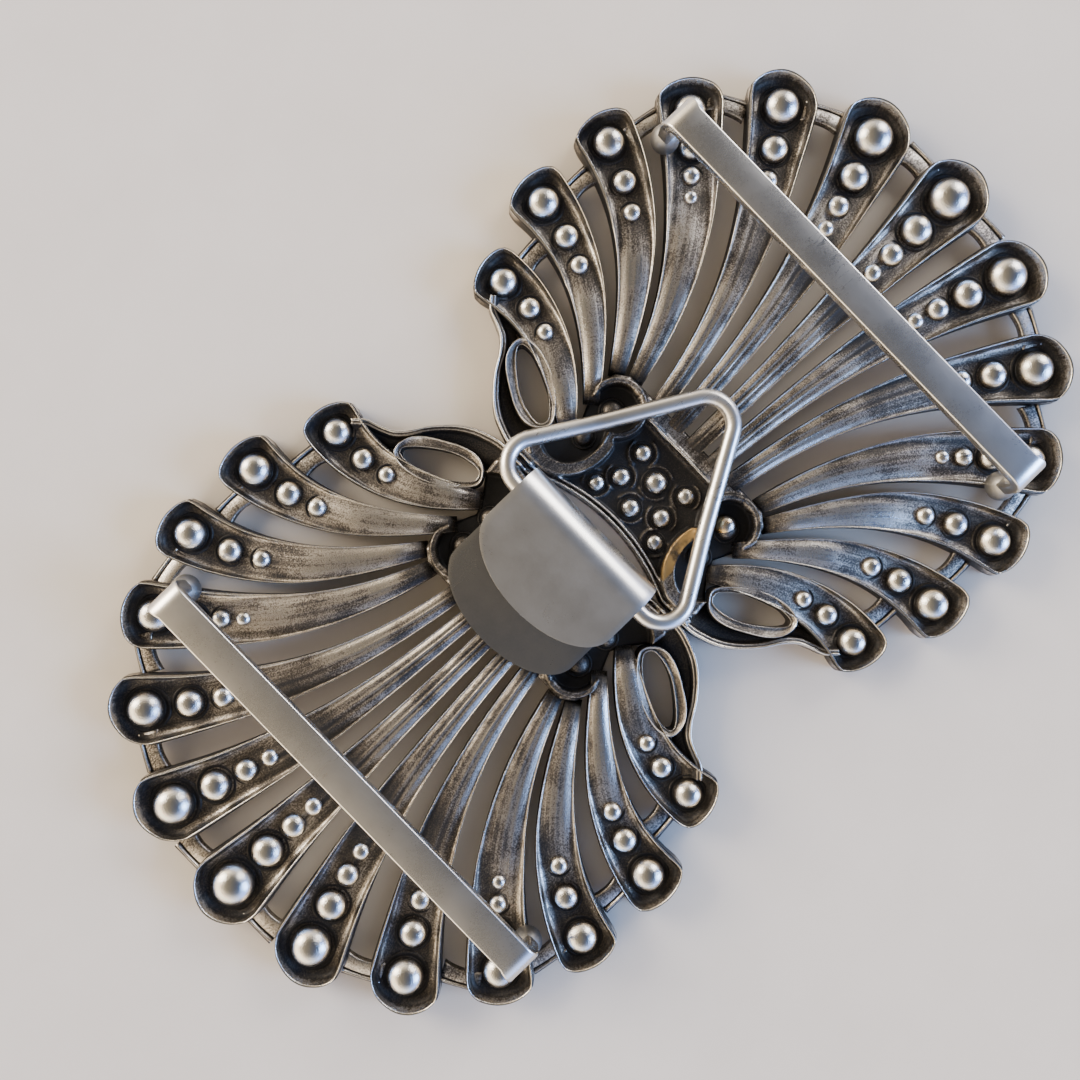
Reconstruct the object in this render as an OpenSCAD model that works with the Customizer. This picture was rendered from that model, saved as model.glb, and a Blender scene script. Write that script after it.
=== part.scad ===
// Apron clasp: two pierced fan plates, fastened by a folded hook and a wire loop.
// It lies front down. X runs along the clasp, from the hook side to the loop side, and Z is up.

/* [Clasp] */
// Distance that each plate's own origin lies past the middle of the clasp
plate_overlap = 0.85; // [0.6:0.05:1.1]
// Sideways distance of each plate from the middle line
plate_shift = 0.3; // [0:0.1:0.6]

/* [Plates] */
// Height of the rims at the petal tips
rim_z = 2.7; // [2.5:0.1:2.8]
// Height of the rims where the petals leave the hub
root_rim_z = 2.3; // [2.0:0.1:2.4]
// Height of the floor of the petals
floor_z = 1.35; // [1.2:0.05:1.5]
// Height of the floor of the hub
hub_floor_z = 1.2; // [1.1:0.05:1.3]
// Height of the lower outer edge of the petals above the front
edge_z = 1.0; // [0.8:0.1:1.1]
// Height of the upper outer edge of the petals
wall_z = 2.0; // [1.8:0.05:2.0]
// Height of the raised rims round the eyes, which carry the hook and the loop
eye_z = 2.8; // [2.8:0.05:3.0]
// Each bead's size over that of the next larger one
bead_ratio = 0.77; // [0.7:0.01:0.82]

/* [Strap bars] */
// Length of a bar over its bends
bar_l = 41.8; // [41:0.1:42.4]
// Width of the strip
bar_w = 2.8; // [2.4:0.1:3.2]
// Thickness of the strip
bar_t = 1; // [0.8:0.1:1.2]
// Height of the top of a bar
bar_z = 8.2; // [7.4:0.1:9]
// Distance of a bar from its plate's origin
bar_x = 28.7; // [28.4:0.1:29]
// Radius of its round feet
foot_r = 1.25; // [1.15:0.05:1.3]

/* [Hook] */
// Width of the strip
hook_w = 13.9; // [13:0.1:14.4]
// Thickness of the sheet
hook_t = 0.8; // [0.7:0.05:0.9]
// Outer radius of the fold
fold_r = 2.6; // [2.4:0.05:2.8]
// Distance of the fold's outer face from the middle of the clasp, towards the loop side
fold_x = 0.4; // [0.2:0.05:0.6]
// Length of the lower leaf from the fold's outer face
lower_leaf = 13.3; // [12.6:0.1:13.6]
// Length of the upper leaf from the fold's outer face
upper_leaf = 9.4; // [9:0.1:10]
// Sideways distance of the hook from the middle line of the hook-side plate
hook_shift = 0.3; // [0:0.1:0.4]

/* [Loop] */
// Diameter of the wire
wire_d = 1.4; // [1.3:0.05:1.5]
// Distance of the base bar from the middle of the clasp, towards the hook side
base_x = 1.9; // [1.8:0.05:2]
// Height of the triangle of the wire's centre line, before its corners are rounded
loop_h = 20; // [19.6:0.1:20.2]
// Radius of the rounded corners, at the wire's centre line
corner_r = 2.35; // [2:0.05:2.6]
// Height of the base bar's centre line
base_z = 4.75; // [4.6:0.05:5]
// Sideways distance of the loop from the middle line of the loop-side plate
loop_shift = 0.7; // [0.4:0.1:0.8]

/* [Hidden] */
gap = 0.05;
cast_grey = "slategray";
satin = "silver";

// Petals, a row for each on one side of the plate. X runs outwards from the hub and Y sideways.
// Turns are in degrees from X. The first row lies on the plate's middle line, and the last is the
// band below the side opening.
// Columns: root x, root y, root turn, tip x, tip y, tip turn, half width at the root,
// half width at the tip, flare of the width, bulge of the tip, beads, radius of the largest bead,
// distance between neighbouring beads over the sum of their radii, how much further out the tip's
// outer corner lies than its middle
PETALS = [
    [11.4, 0.0,  0, 44.4,  0.0,    0, 0.85, 3.60, 2.4, 2.5, 4, 1.80, 1.25, 0.0],
    [11.4, 2.2,  4, 43.4,  8.75,  21, 0.80, 3.45, 2.0, 2.2, 4, 1.70, 1.27, 0.5],
    [11.5, 4.4,  8, 39.3, 16.45,  38, 0.80, 3.30, 1.8, 2.1, 4, 1.55, 1.36, 0.4],
    [12.4, 7.5, 16, 33.4, 22.15,  50, 0.70, 3.10, 1.1, 1.4, 4, 1.40, 1.30, 0.0],
    [11.8, 9.0, 32, 25.9, 25.5,   76, 0.70, 2.85, 1.1, 1.1, 3, 1.38, 1.50, 0.0],
    [ 8.6, 8.8, 42, 17.8, 25.75,  90, 0.70, 2.95, 1.3, 1.1, 3, 1.42, 1.42, 0.0],
    [ 5.6, 8.7, 50, 10.2, 23.1,  104, 0.70, 2.70, 0.8, 1.0, 3, 1.25, 1.47, 0.0],
    [ 2.5, 9.6, 89,  8.2, 18.0,   25, 1.50, 0.85, 1.0, 0.0, 0, 0.00, 0.00, 0.0]
];

// Tabs that join neighbouring petals near their tips. Columns: x, y, turn, length, width
TABS = [
    [43.9,  4.1,  90, 3.4, 2.3],
    [40.7, 12.9, 118, 3.4, 2.0],
    [35.3, 19.3, 120, 3.4, 1.9],
    [28.8, 23.0, 170, 3.4, 1.9],
    [21.1, 23.2, 180, 3.0, 2.0],
    [13.9, 21.5, 185, 3.0, 2.2]
];

// Beads of the hub. Columns: x, y, radius
HUB_BEADS = [
    [8.9, 2.65, 0.80], [6.1, 2.50, 0.85], [4.2, 3.60, 0.75],
    [8.9, -2.65, 0.80], [6.1, -2.50, 0.85], [4.2, -3.60, 0.75],
    [7.9, 0, 1.00], [4.8, 0, 0.85]
];
// Beads in the two hollows of each eye, with the same columns
EYE_BEADS = [[9.5, 7.3, 0.85], [6.2, 7.2, 0.80]];

// Point and direction on the curved middle line of a petal at t, from 0 at the root to 1 at the tip
function unit_at(turn) = [cos(turn), sin(turn)];
function handle(p) = 0.38 * norm([p[3] - p[0], p[4] - p[1]]);
function knots(p) = [
    [p[0], p[1]],
    [p[0], p[1]] + handle(p) * unit_at(p[2]),
    [p[3], p[4]] - handle(p) * unit_at(p[5]),
    [p[3], p[4]]
];
function mid_point(p, t) = let (k = knots(p), s = 1 - t)
    s*s*s * k[0] + 3*s*s*t * k[1] + 3*s*t*t * k[2] + t*t*t * k[3];
function mid_turn(p, t) = let (k = knots(p), s = 1 - t,
    d = s*s * (k[1] - k[0]) + 2*s*t * (k[2] - k[1]) + t*t * (k[3] - k[2])) atan2(d[1], d[0]);
function half_width(p, t) = p[6] + (p[7] - p[6]) * pow(t, p[8]);

// Cross sections of a petal. Columns: t, distance back from the tip, how far the floor has risen to
// the rim, how far the rim has dropped to the outer edge
SECTIONS = [
    [0.00, 0.00, 0, 0], [0.25, 0.00, 0, 0], [0.50, 0.00, 0, 0], [0.76, 0.00, 0, 0],
    [1.00, 0.90, 0, 0], [1.00, 0.45, 1, 0], [1.00, 0.00, 1, 1]
];
SIDES = 7;

// One cross section: the front from one edge to the other, then the back with its two rims
function mix(a, b, f) = a + (b - a) * f;
function columns_at(h, rise) = let (
    crest = mix(1 - (0.22 + 0.05 * h) / h, 0.78, rise),
    foot = mix(1 - (0.42 + 0.12 * h) / h, 0.42, rise)
) [-1, -crest, -foot, 0, foot, crest, 1];
function front_z(j, drop) = mix([1, 0.45, 0, 0][min(j, SIDES - 1 - j)] * edge_z, edge_z, drop);
function rim_at(t) = mix(root_rim_z, rim_z, t);
function back_z(j, t, rise, drop) =
    (j == 0 || j == SIDES - 1) ? wall_z
    : mix((j == 1 || j == SIDES - 2) ? rim_at(t) : mix(floor_z, rim_at(t), rise), wall_z, drop);
function ring(p, q) = let (
    t = q[0],
    turn = mid_turn(p, t),
    h = half_width(p, t),
    along = unit_at(turn),
    across = unit_at(turn + 90),
    middle = mid_point(p, t) - q[1] * along,
    cols = columns_at(h, q[2]),
    flat = [for (s = cols) middle + s * h * across + pow(t, 4) * (p[9] * (1 - s * s) + p[13] * s) * along]
) concat(
    [for (j = [0 : SIDES - 1]) [flat[j][0], flat[j][1], front_z(j, q[3])]],
    [for (j = [SIDES - 1 : -1 : 0]) [flat[j][0], flat[j][1], back_z(j, t, q[2], q[3])]]
);

// A closed skin over a row of rings, with its two ends closed by strips between front and back
function quad(a, b, c, d) = [[a, b, c], [a, c, d]];
function skin_faces(rings, size) = concat(
    [for (i = [0 : rings - 2]) for (j = [0 : size - 1])
        let (a = i * size + j, b = i * size + (j + 1) % size)
        each quad(a, a + size, b + size, b)],
    [for (j = [0 : size / 2 - 2]) each quad(j, j + 1, size - 2 - j, size - 1 - j)],
    [for (j = [0 : size / 2 - 2]) let (o = (rings - 1) * size)
        each quad(o + size - 1 - j, o + size - 2 - j, o + j + 1, o + j)]
);

module petal(p) {
    points = [for (q = SECTIONS) each ring(p, q)];
    polyhedron(points, skin_faces(len(SECTIONS), 2 * SIDES), convexity = 4);
}

// Beads stand along the middle of the petal, the largest near its tip and each next one smaller
function bead_r(p, i) = p[11] * pow(bead_ratio, i);
bead_foot_z = 0.83;
function bead_back(p, i) = i == 0 ? p[11] + 1 - 0.75 * p[9]
    : bead_back(p, i - 1) + p[12] * (bead_r(p, i - 1) + bead_r(p, i));
function petal_length(p) = let (steps = 20) [for (i = 0, l = 0; i <= steps;
    l = l + norm(mid_point(p, i / steps) - mid_point(p, (i + 1) / steps)), i = i + 1) l][steps];

module bead(r, base_z) {
    middle = base_z - 0.2 * r;
    rotate_extrude($fn = 10)
        polygon([[0, bead_foot_z], [r, bead_foot_z], [r, middle], [0.74 * r, middle + 0.68 * r], [0, middle + r]]);
}

module petal_beads(p) {
    for (i = [0 : 1 : p[10] - 1])
        let (at = mid_point(p, 1 - bead_back(p, i) / petal_length(p)))
        translate([at[0], at[1], 0]) rotate([0, 0, p[2]]) bead(bead_r(p, i), floor_z);
}

// Both sides of the plate
module both_sides() {
    children();
    mirror([0, 1, 0]) children();
}

// A tab is narrower at its front than at its back, and its ends lie inside the petals' floors
tab_z = floor_z - 0.04;
module tab(q) {
    translate([q[0], q[1], 0]) rotate([0, 0, q[2]]) hull() {
        translate([-q[3] / 2, -q[4] / 2, tab_z - 0.2]) cube([q[3], q[4], 0.2]);
        translate([-q[3] / 2, 0.3 - q[4] / 2, 0.47]) cube([q[3], q[4] - 0.6, 0.2]);
    }
}

// Hub: a floor with a concave end towards the other plate
end_r = 28;
end_x = 2.7;
hub_front_z = 0.1;
eye = [9.9, 7.1, 2.1];
bowl = [6.7, 8.25, 2.65];
foot = [-0.35, bar_l / 2 - 0.3];
socket = [bar_x + foot[0], foot[1]];
socket_r = 0.5;
socket_top = 2.4;
foot_top = 4.2;
rivet = [6.7, 5.05];
rivet_r = 0.6;

module hub_outline() {
    difference() {
        polygon([[0.9, 0], [0.9, 10.6], [3.9, 10.2], [5.4, 9.0], [6.8, 8.3], [8.6, 9.1], [10.3, 9.7],
            [11.9, 9.2], [12.8, 8.0], [12.8, -8.0], [11.9, -9.2], [10.3, -9.7], [8.6, -9.1], [6.8, -8.3],
            [5.4, -9.0], [3.9, -10.2], [0.9, -10.6]]);
        translate([end_x - end_r, 0]) circle(end_r, $fn = 64);
    }
}

module eye_hollow() {
    translate([eye[0], eye[1]]) circle(eye[2], $fn = 14);
    translate([bowl[0], bowl[1]]) circle(bowl[2], $fn = 16);
}

module eye_rim() {
    difference() {
        union() {
            translate([eye[0], eye[1]]) circle(eye[2] + 0.6, $fn = 14);
            translate([bowl[0], bowl[1]]) circle(bowl[2] + 1.1, $fn = 18);
        }
        eye_hollow();
    }
}

module raised(top, inset) {
    translate([0, 0, hub_front_z + inset]) linear_extrude(top - hub_front_z - inset) intersection() {
        offset(delta = -inset) hub_outline();
        children();
    }
}

module hub() {
    translate([0, 0, hub_front_z]) linear_extrude(hub_floor_z - hub_front_z) hub_outline();
    // Raised rim of the concave end
    raised(root_rim_z + 0.1, 0.02) translate([end_x - end_r, 0]) circle(end_r + 0.8, $fn = 64);
    both_sides() {
        raised(eye_z, 0.06) eye_rim();
        for (q = EYE_BEADS) translate([q[0], q[1], 0]) bead(q[2], hub_floor_z + 0.1);
    }
    for (q = HUB_BEADS) translate([q[0], q[1], 0]) bead(q[2], hub_floor_z);
}

// The casting, whose own origin lies on its middle line just past its concave end
module casting() {
    difference() {
        union() {
            petal(PETALS[0]);
            petal_beads(PETALS[0]);
            both_sides() {
                for (i = [1 : len(PETALS) - 1]) {
                    petal(PETALS[i]);
                    petal_beads(PETALS[i]);
                }
                for (q = TABS) tab(q);
                translate([socket[0], socket[1], 0.5]) cylinder(r = 1.4, h = socket_top - 0.5, $fn = 12);
            }
            hub();
        }
        both_sides() translate([socket[0], socket[1], 0]) {
            translate([0, 0, 0.9]) cylinder(r = socket_r, h = 5, $fn = 12);
            // Seat of the foot, cut through the petal's rim
            translate([0, 0, socket_top + 0.01]) cylinder(r = (foot_r + gap) / cos(15), h = 5, $fn = 12);
        }
    }
}

// Places of the two plates in the clasp
module at_hook_side() {
    translate([plate_overlap, plate_shift, 0]) rotate([0, 0, 180]) children();
}
module at_loop_side() {
    translate([-plate_overlap, -plate_shift, 0]) children();
}

module hook_side_plate() {
    color(cast_grey) at_hook_side() {
        casting();
        // Cast posts whose heads hold the hook down
        both_sides() translate([rivet[0], rivet[1], 0]) {
            cylinder(r = rivet_r, h = hook_z + hook_t + gap + 0.2, $fn = 12);
            translate([0, 0, hook_z + hook_t + gap]) cylinder(r = 1, h = 0.3, $fn = 12);
        }
    }
}

module loop_side_plate() {
    color(cast_grey) difference() {
        at_loop_side() casting();
        // Grooves in the rims of the eyes, for the legs of the loop
        translate([bend_at - base_x, loop_shift - plate_shift, seat_z - wire_d / 2 - gap])
            both_sides() translate([0, bend_y, 0]) rotate([0, 0, -30])
                translate([-1.5, -wire_d / 2 - gap, 0]) cube([7, wire_d + 2 * gap, 2]);
    }
}

// Strap bar: a strip with both ends bent down as legs, each with a round foot and a tenon
foot_z = socket_top + gap;

module strip_outline(inset) {
    r = 1.6 - inset;
    l = bar_l / 2 - inset;
    top = bar_z - inset;
    translate([-l, 0]) square([2 * l, top - r]);
    translate([r - l, 0]) square([2 * (l - r), top]);
    for (side = [-1, 1]) translate([side * (l - r), top - r]) circle(r, $fn = 48);
}

module strap_bar() {
    difference() {
        intersection() {
            rotate([90, 0, 90]) translate([0, 0, -bar_w / 2]) linear_extrude(bar_w) strip_outline(0);
            rotate([90, 0, 0]) translate([0, 0, -bar_l]) linear_extrude(2 * bar_l) side_outline();
        }
        rotate([90, 0, 90]) translate([0, 0, -bar_w]) linear_extrude(2 * bar_w) strip_outline(bar_t);
    }
    for (side = [-1, 1]) translate([foot[0], side * foot[1], 0]) {
        translate([0, 0, foot_z]) cylinder(r = foot_r, h = foot_top - foot_z, $fn = 48);
        translate([0, 0, 1]) cylinder(r = socket_r - gap, h = foot_z, $fn = 48);
    }
}

module side_outline() {
    soft = 0.2;
    w = bar_w / 2;
    neck = 0.95;
    polygon([[-neck, foot_top - 1], [neck, foot_top - 1], [neck, foot_top - 0.6], [w, foot_top + 0.6],
        [w, bar_z - soft], [w - soft, bar_z], [soft - w, bar_z], [-w, bar_z - soft], [-w, foot_top + 0.6],
        [-neck, foot_top - 0.6]]);
}

module hook_side_bar() {
    color(satin) at_hook_side() translate([bar_x, 0, 0]) strap_bar();
}

module loop_side_bar() {
    color(satin) at_loop_side() translate([bar_x, 0, 0]) strap_bar();
}

// Hook: two leaves joined by a round fold
hook_z = eye_z + gap;

module fold_outline() {
    centre = fold_x - fold_r;
    translate([fold_x - lower_leaf, hook_z]) square([centre - fold_x + lower_leaf, hook_t]);
    translate([fold_x - upper_leaf, hook_z + 2 * fold_r - hook_t]) square([centre - fold_x + upper_leaf, hook_t]);
    translate([centre, hook_z + fold_r]) intersection() {
        difference() {
            circle(fold_r, $fn = 64);
            circle(fold_r - hook_t, $fn = 64);
        }
        translate([0, -fold_r]) square([fold_r, 2 * fold_r]);
    }
}

// Plan of a leaf with a half oval end
module leaf_plan(length, oval) {
    tip = fold_x - length;
    steps = 24;
    polygon(concat(
        [[fold_x + 1, -hook_w / 2], [fold_x + 1, hook_w / 2]],
        [for (i = [0 : steps]) let (a = 90 + 180 * i / steps) [tip + oval + oval * cos(a), hook_w / 2 * sin(a)]]
    ));
}

module folded_hook() {
    middle = hook_z + fold_r;
    color(satin) translate([0, plate_shift + hook_shift, 0]) difference() {
        intersection() {
            rotate([90, 0, 0]) translate([0, 0, -hook_w / 2]) linear_extrude(hook_w) fold_outline();
            union() {
                linear_extrude(middle) leaf_plan(lower_leaf, 3.8);
                translate([0, 0, middle]) linear_extrude(middle) leaf_plan(upper_leaf, 3.8);
            }
        }
        for (side = [-1, 1]) translate([plate_overlap - rivet[0], side * rivet[1] - hook_shift, hook_z - 1])
            cylinder(r = rivet_r + gap, h = 2, $fn = 48);
    }
}

// Loop: an even triangle with rounded corners. Its legs slope down from the hook and then lie
// level on the rims of the eyes, up to the apex between the roots of the petals.
seat_z = eye_z + wire_d / 2 - 0.25;
bend_at = 8.8;
slope = asin((base_z - seat_z) / bend_at);

// Middle line of the wire: half of it, from the middle of the base bar round a corner and up a leg
function arc_points(centre, from, to, steps) =
    [for (i = [0 : steps]) centre + corner_r * unit_at(from + (to - from) * i / steps)];
half_base = loop_h * tan(30);
bend_y = (loop_h - bend_at) * tan(30);
corner_centre = [corner_r, half_base - sqrt(3) * corner_r];
function sloped(p) = [p[0] * cos(slope), p[1], base_z - p[0] * sin(slope)];
function level(p) = [p[0] + bend_at * (cos(slope) - 1), p[1], seat_z];
half_path = concat(
    [for (p = arc_points(corner_centre, 180, 60, 6)) sloped(p)],
    [sloped([bend_at, bend_y])],
    [for (p = arc_points([loop_h - 2 * corner_r, 0], 60, 0, 3)) level(p)]
);
wire_path = concat(
    half_path,
    [for (i = [len(half_path) - 2 : -1 : 0]) [half_path[i][0], -half_path[i][1], half_path[i][2]]]
);

// Closed round wire along the path
function ahead(path, i) = let (n = len(path), v = path[(i + 1) % n] - path[(i + n - 1) % n]) v / norm(v);
function wire_ring(path, i, d, n) = let (
    v = ahead(path, i),
    side = cross([0, 0, 1], v) / norm(cross([0, 0, 1], v)),
    up = cross(v, side)
) [for (j = [0 : n - 1]) path[i] + d / 2 * (cos(360 * j / n) * side + sin(360 * j / n) * up)];

module loop_wire(d, n) {
    rings = len(wire_path);
    points = [for (i = [0 : rings - 1]) each wire_ring(wire_path, i, d, n)];
    faces = [for (i = [0 : rings - 1]) for (j = [0 : n - 1])
        let (a = i * n + j, b = i * n + (j + 1) % n, next = ((i + 1) % rings - i) * n)
        each quad(a, a + next, b + next, b)];
    translate([-base_x, loop_shift - plate_shift, 0]) polyhedron(points, faces, convexity = 4);
}

module wire_loop() {
    color(satin) loop_wire(wire_d, 8);
}

hook_side_plate();
loop_side_plate();
hook_side_bar();
loop_side_bar();
folded_hook();
wire_loop();
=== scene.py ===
from collections import namedtuple
from math import cos, hypot, pi, radians, sin, sqrt, tan

import bmesh
import bpy
import numpy as np
from bpy.props import FloatProperty, FloatVectorProperty, IntProperty, PointerProperty
from mathutils import Matrix, Vector


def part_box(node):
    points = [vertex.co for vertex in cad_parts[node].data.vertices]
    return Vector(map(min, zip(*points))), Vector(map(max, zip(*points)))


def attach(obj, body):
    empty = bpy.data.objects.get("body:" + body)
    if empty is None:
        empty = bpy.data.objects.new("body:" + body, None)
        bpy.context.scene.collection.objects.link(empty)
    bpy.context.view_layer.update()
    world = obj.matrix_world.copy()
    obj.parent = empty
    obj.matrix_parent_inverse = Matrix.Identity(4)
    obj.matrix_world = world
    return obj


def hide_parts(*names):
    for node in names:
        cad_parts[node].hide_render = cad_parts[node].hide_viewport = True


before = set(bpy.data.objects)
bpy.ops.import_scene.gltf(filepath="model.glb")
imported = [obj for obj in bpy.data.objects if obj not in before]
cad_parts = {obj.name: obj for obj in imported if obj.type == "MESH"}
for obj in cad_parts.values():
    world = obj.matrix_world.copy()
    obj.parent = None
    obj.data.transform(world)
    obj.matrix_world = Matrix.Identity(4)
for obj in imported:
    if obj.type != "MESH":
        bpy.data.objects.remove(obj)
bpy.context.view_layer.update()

bl_info = {
    "name": "Apron Clasp",
    "version": (1, 0, 0),
    "blender": (4, 5, 0),
    "location": "View3D > Sidebar > Clasp",
    "description": "Two fan castings joined by a folded hook and a wire loop, with a strap bar on each",
    "category": "Object",
}

# The clasp lies front down. X runs from the hook side to the loop side and Z is up, in metres.
# Tables and local sizes are in millimetres in a plate's own frame, with X outwards from the middle.
MM = 0.001
LOOP_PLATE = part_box("loop_side_plate")
LOOP_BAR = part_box("loop_side_bar")
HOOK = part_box("folded_hook")
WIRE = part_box("wire_loop")

Petal = namedtuple("Petal", "root_x root_y root_turn tip_x tip_y tip_turn root_half tip_half "
                            "flare bulge beads bead_r pitch tilt inner outer")
# The first petal lies on the middle line. A higher flare widens a petal nearer its tip. bulge is how far
# the tip's middle lies beyond its sides, and tilt how much further out its outer corner lies than its
# middle. pitch is the distance of two beads over the sum of their radii. inner and outer say how round
# the tip's two corners are.
PETALS = [
    Petal(11.4, 0.0, 0, 44.4, 0.0, 0, 0.85, 3.60, 2.4, 2.5, 4, 1.80, 1.25, 0.0, 0.7, 0.7),
    Petal(11.4, 2.2, 4, 43.4, 8.75, 21, 0.80, 3.45, 2.0, 2.2, 4, 1.70, 1.27, 0.5, 1.0, 0.6),
    Petal(11.5, 4.4, 8, 39.3, 16.45, 38, 0.80, 3.30, 1.8, 2.1, 4, 1.55, 1.36, 0.4, 1.0, 0.5),
    Petal(12.4, 7.5, 16, 33.4, 22.15, 50, 0.70, 3.10, 1.1, 1.4, 4, 1.40, 1.30, 0.0, 0.9, 0.5),
    Petal(11.8, 9.0, 32, 25.9, 25.5, 76, 0.70, 2.85, 1.1, 1.1, 3, 1.38, 1.50, 0.0, 0.7, 0.5),
    Petal(8.6, 8.8, 42, 17.8, 25.75, 90, 0.70, 2.95, 1.3, 1.1, 3, 1.42, 1.42, 0.0, 0.7, 0.6),
    Petal(5.6, 8.7, 50, 10.2, 23.1, 104, 0.70, 2.70, 0.8, 1.0, 3, 1.25, 1.47, 0.0, 0.7, 0.6),
]
# How deep the grooves along a petal's middle are, from the first petal on
CREASES = [1.0, 0.9, 0.6, 0.4, 0.2, 0.0, 0.0]
# How much a petal is darkened beside its bar, by dark patina and by painted shade and reflection of the bar
PATINA_AND_BAR_SHADE = [0.42, 0.38, 0.28, 0.10, 0.0, 0.0, 0.0]

# The side opening's band from its outer edge to the lip, and the lip from its crest to the opening
BAND = [((0.80, 10.1), (3.2, 9.9)), ((0.91, 11.41), (3.5, 10.6)), ((1.38, 12.89), (3.35, 11.7)),
        ((1.92, 14.03), (3.6, 13.0)), ((2.85, 15.2), (4.5, 14.5)), ((4.34, 16.53), (5.4, 15.9)),
        ((5.81, 17.47), (6.6, 16.8)), ((6.85, 18.45), (7.9, 17.3)), ((7.4, 19.6), (8.7, 18.6)),
        ((7.85, 20.7), (9.3, 19.7)), ((8.7, 21.6), (9.9, 20.5))]
LIP = [((3.77, 10.5), (4.1, 10.75)), ((3.33, 11.63), (4.12, 11.92)), ((3.62, 13.05), (4.56, 13.3)),
       ((4.46, 14.63), (5.42, 14.65)), ((5.34, 15.97), (6.5, 15.95)), ((6.3, 16.82), (7.3, 16.6)),
       ((7.41, 17.12), (7.74, 16.6)), ((8.2, 16.85), (7.93, 16.2)), ((8.55, 15.89), (7.9, 15.3)),
       ((8.43, 14.64), (7.6, 14.1)), ((7.95, 13.24), (7.0, 12.75)), ((7.3, 12.1), (6.15, 11.5)),
       ((6.2, 10.8), (5.3, 10.6)), ((4.9, 9.9), (4.7, 10.35))]

Tab = namedtuple("Tab", "x y turn length width")
TABS = [
    Tab(43.9, 4.1, 90, 3.4, 2.3),
    Tab(40.7, 12.9, 118, 3.4, 2.0),
    Tab(35.3, 19.3, 120, 3.4, 1.9),
    Tab(28.8, 23.0, 170, 3.4, 1.9),
    Tab(21.1, 23.2, 180, 3.0, 2.0),
    Tab(13.9, 21.5, 185, 3.0, 2.2),
]

Disc = namedtuple("Disc", "x y radius")
HUB_BEADS = [
    Disc(8.9, 2.65, 0.80), Disc(6.1, 2.50, 0.85), Disc(4.2, 3.60, 0.75),
    Disc(8.9, -2.65, 0.80), Disc(6.1, -2.50, 0.85), Disc(4.2, -3.60, 0.75),
    Disc(7.9, 0.0, 1.00), Disc(4.8, 0.0, 0.85),
]
EYE_BEADS = [Disc(9.5, 7.1, 0.90), Disc(6.2, 7.2, 0.80)]
# The worn dome in one eye of the loop side, and the posts that hold the hook's lower leaf
WORN_DOME = Disc(9.65, -6.8, 1.0)
POSTS = [Disc(6.7, 5.05, 1.0), Disc(6.7, -5.05, 1.0)]

# The camera's place over the clasp, the point that it looks at, and how far it is turned about its own
# axis in degrees
CAMERA_PLACE = Vector((-5.55, 3.35, 85.0))
CAMERA_TARGET = Vector((-3.55, 3.15, 0.0))
CAMERA_TURN = -44.1

# The hook's sheet and the gap between pieces, in millimetres
SHEET = 0.8
PIECE_GAP = 0.05


# Settings in the sidebar

class ClaspCasting(bpy.types.PropertyGroup):
    overlap: FloatProperty(
        name="Overlap", description="How far a plate's own origin lies past the middle of the clasp",
        default=46.9 * MM - LOOP_PLATE[1].x, unit="LENGTH", precision=5)
    shift: FloatProperty(
        name="Shift", description="Sideways distance of each plate from the middle line",
        default=-(LOOP_PLATE[0].y + LOOP_PLATE[1].y) / 2, unit="LENGTH", precision=5)
    tip_rim: FloatProperty(
        name="Tip rim", description="Height of the rims at the petal tips",
        default=2.7 * MM, unit="LENGTH", precision=5)
    root_rim: FloatProperty(
        name="Root rim", description="Height of the rims where the petals leave the hub",
        default=2.3 * MM, unit="LENGTH", precision=5)
    tip_floor: FloatProperty(
        name="Tip floor", description="Height of the floor of the pockets at the petal tips",
        default=1.4 * MM, unit="LENGTH", precision=5)
    root_floor: FloatProperty(
        name="Root floor", description="Height of the petals between their rims near the hub",
        default=2.2 * MM, unit="LENGTH", precision=5)
    edge: FloatProperty(
        name="Edge", description="Height of the lower outer edge of the petals",
        default=1.05 * MM, unit="LENGTH", precision=5)
    bead_ratio: FloatProperty(
        name="Bead ratio", description="Each bead's size over that of the next larger one",
        default=0.77, min=0.5, max=1.0)
    silver: FloatVectorProperty(
        name="Silver", description="Colour of the polished metal",
        default=(0.56, 0.55, 0.53), subtype="COLOR", size=3, min=0, max=1)
    tarnish: FloatVectorProperty(
        name="Tarnish", description="Colour of the blackened recesses",
        default=(0.018, 0.018, 0.020), subtype="COLOR", size=3, min=0, max=1)


class ClaspBars(bpy.types.PropertyGroup):
    width: FloatProperty(
        name="Width", description="Width of the strip", default=2.8 * MM, unit="LENGTH", precision=5)
    thickness: FloatProperty(
        name="Thickness", description="Thickness of the strip", default=1.0 * MM, unit="LENGTH", precision=5)
    top: FloatProperty(
        name="Top", description="Height of the top of a bar",
        default=LOOP_BAR[1].z, unit="LENGTH", precision=5)
    bend: FloatProperty(
        name="Bend", description="Outer radius of the bends", default=1.6 * MM, unit="LENGTH", precision=5)
    foot: FloatProperty(
        name="Foot", description="Radius of the round feet", default=1.25 * MM, unit="LENGTH", precision=5)
    satin: FloatVectorProperty(
        name="Satin", description="Colour of the plated strip",
        default=(0.66, 0.64, 0.61), subtype="COLOR", size=3, min=0, max=1)


class ClaspHook(bpy.types.PropertyGroup):
    thickness: FloatProperty(
        name="Thickness", description="Thickness of the sheet",
        default=SHEET * MM, unit="LENGTH", precision=5)
    lower_leaf: FloatProperty(
        name="Lower leaf", description="Length of the lower leaf from the fold's outer face",
        default=HOOK[1].x - HOOK[0].x, unit="LENGTH", precision=5)
    upper_leaf: FloatProperty(
        name="Upper leaf", description="Length of the upper leaf from the fold's outer face",
        default=9.4 * MM, unit="LENGTH", precision=5)
    oval: FloatProperty(
        name="Oval", description="Length of the half oval at a leaf's end", default=3.8 * MM,
        unit="LENGTH", precision=5)


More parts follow.
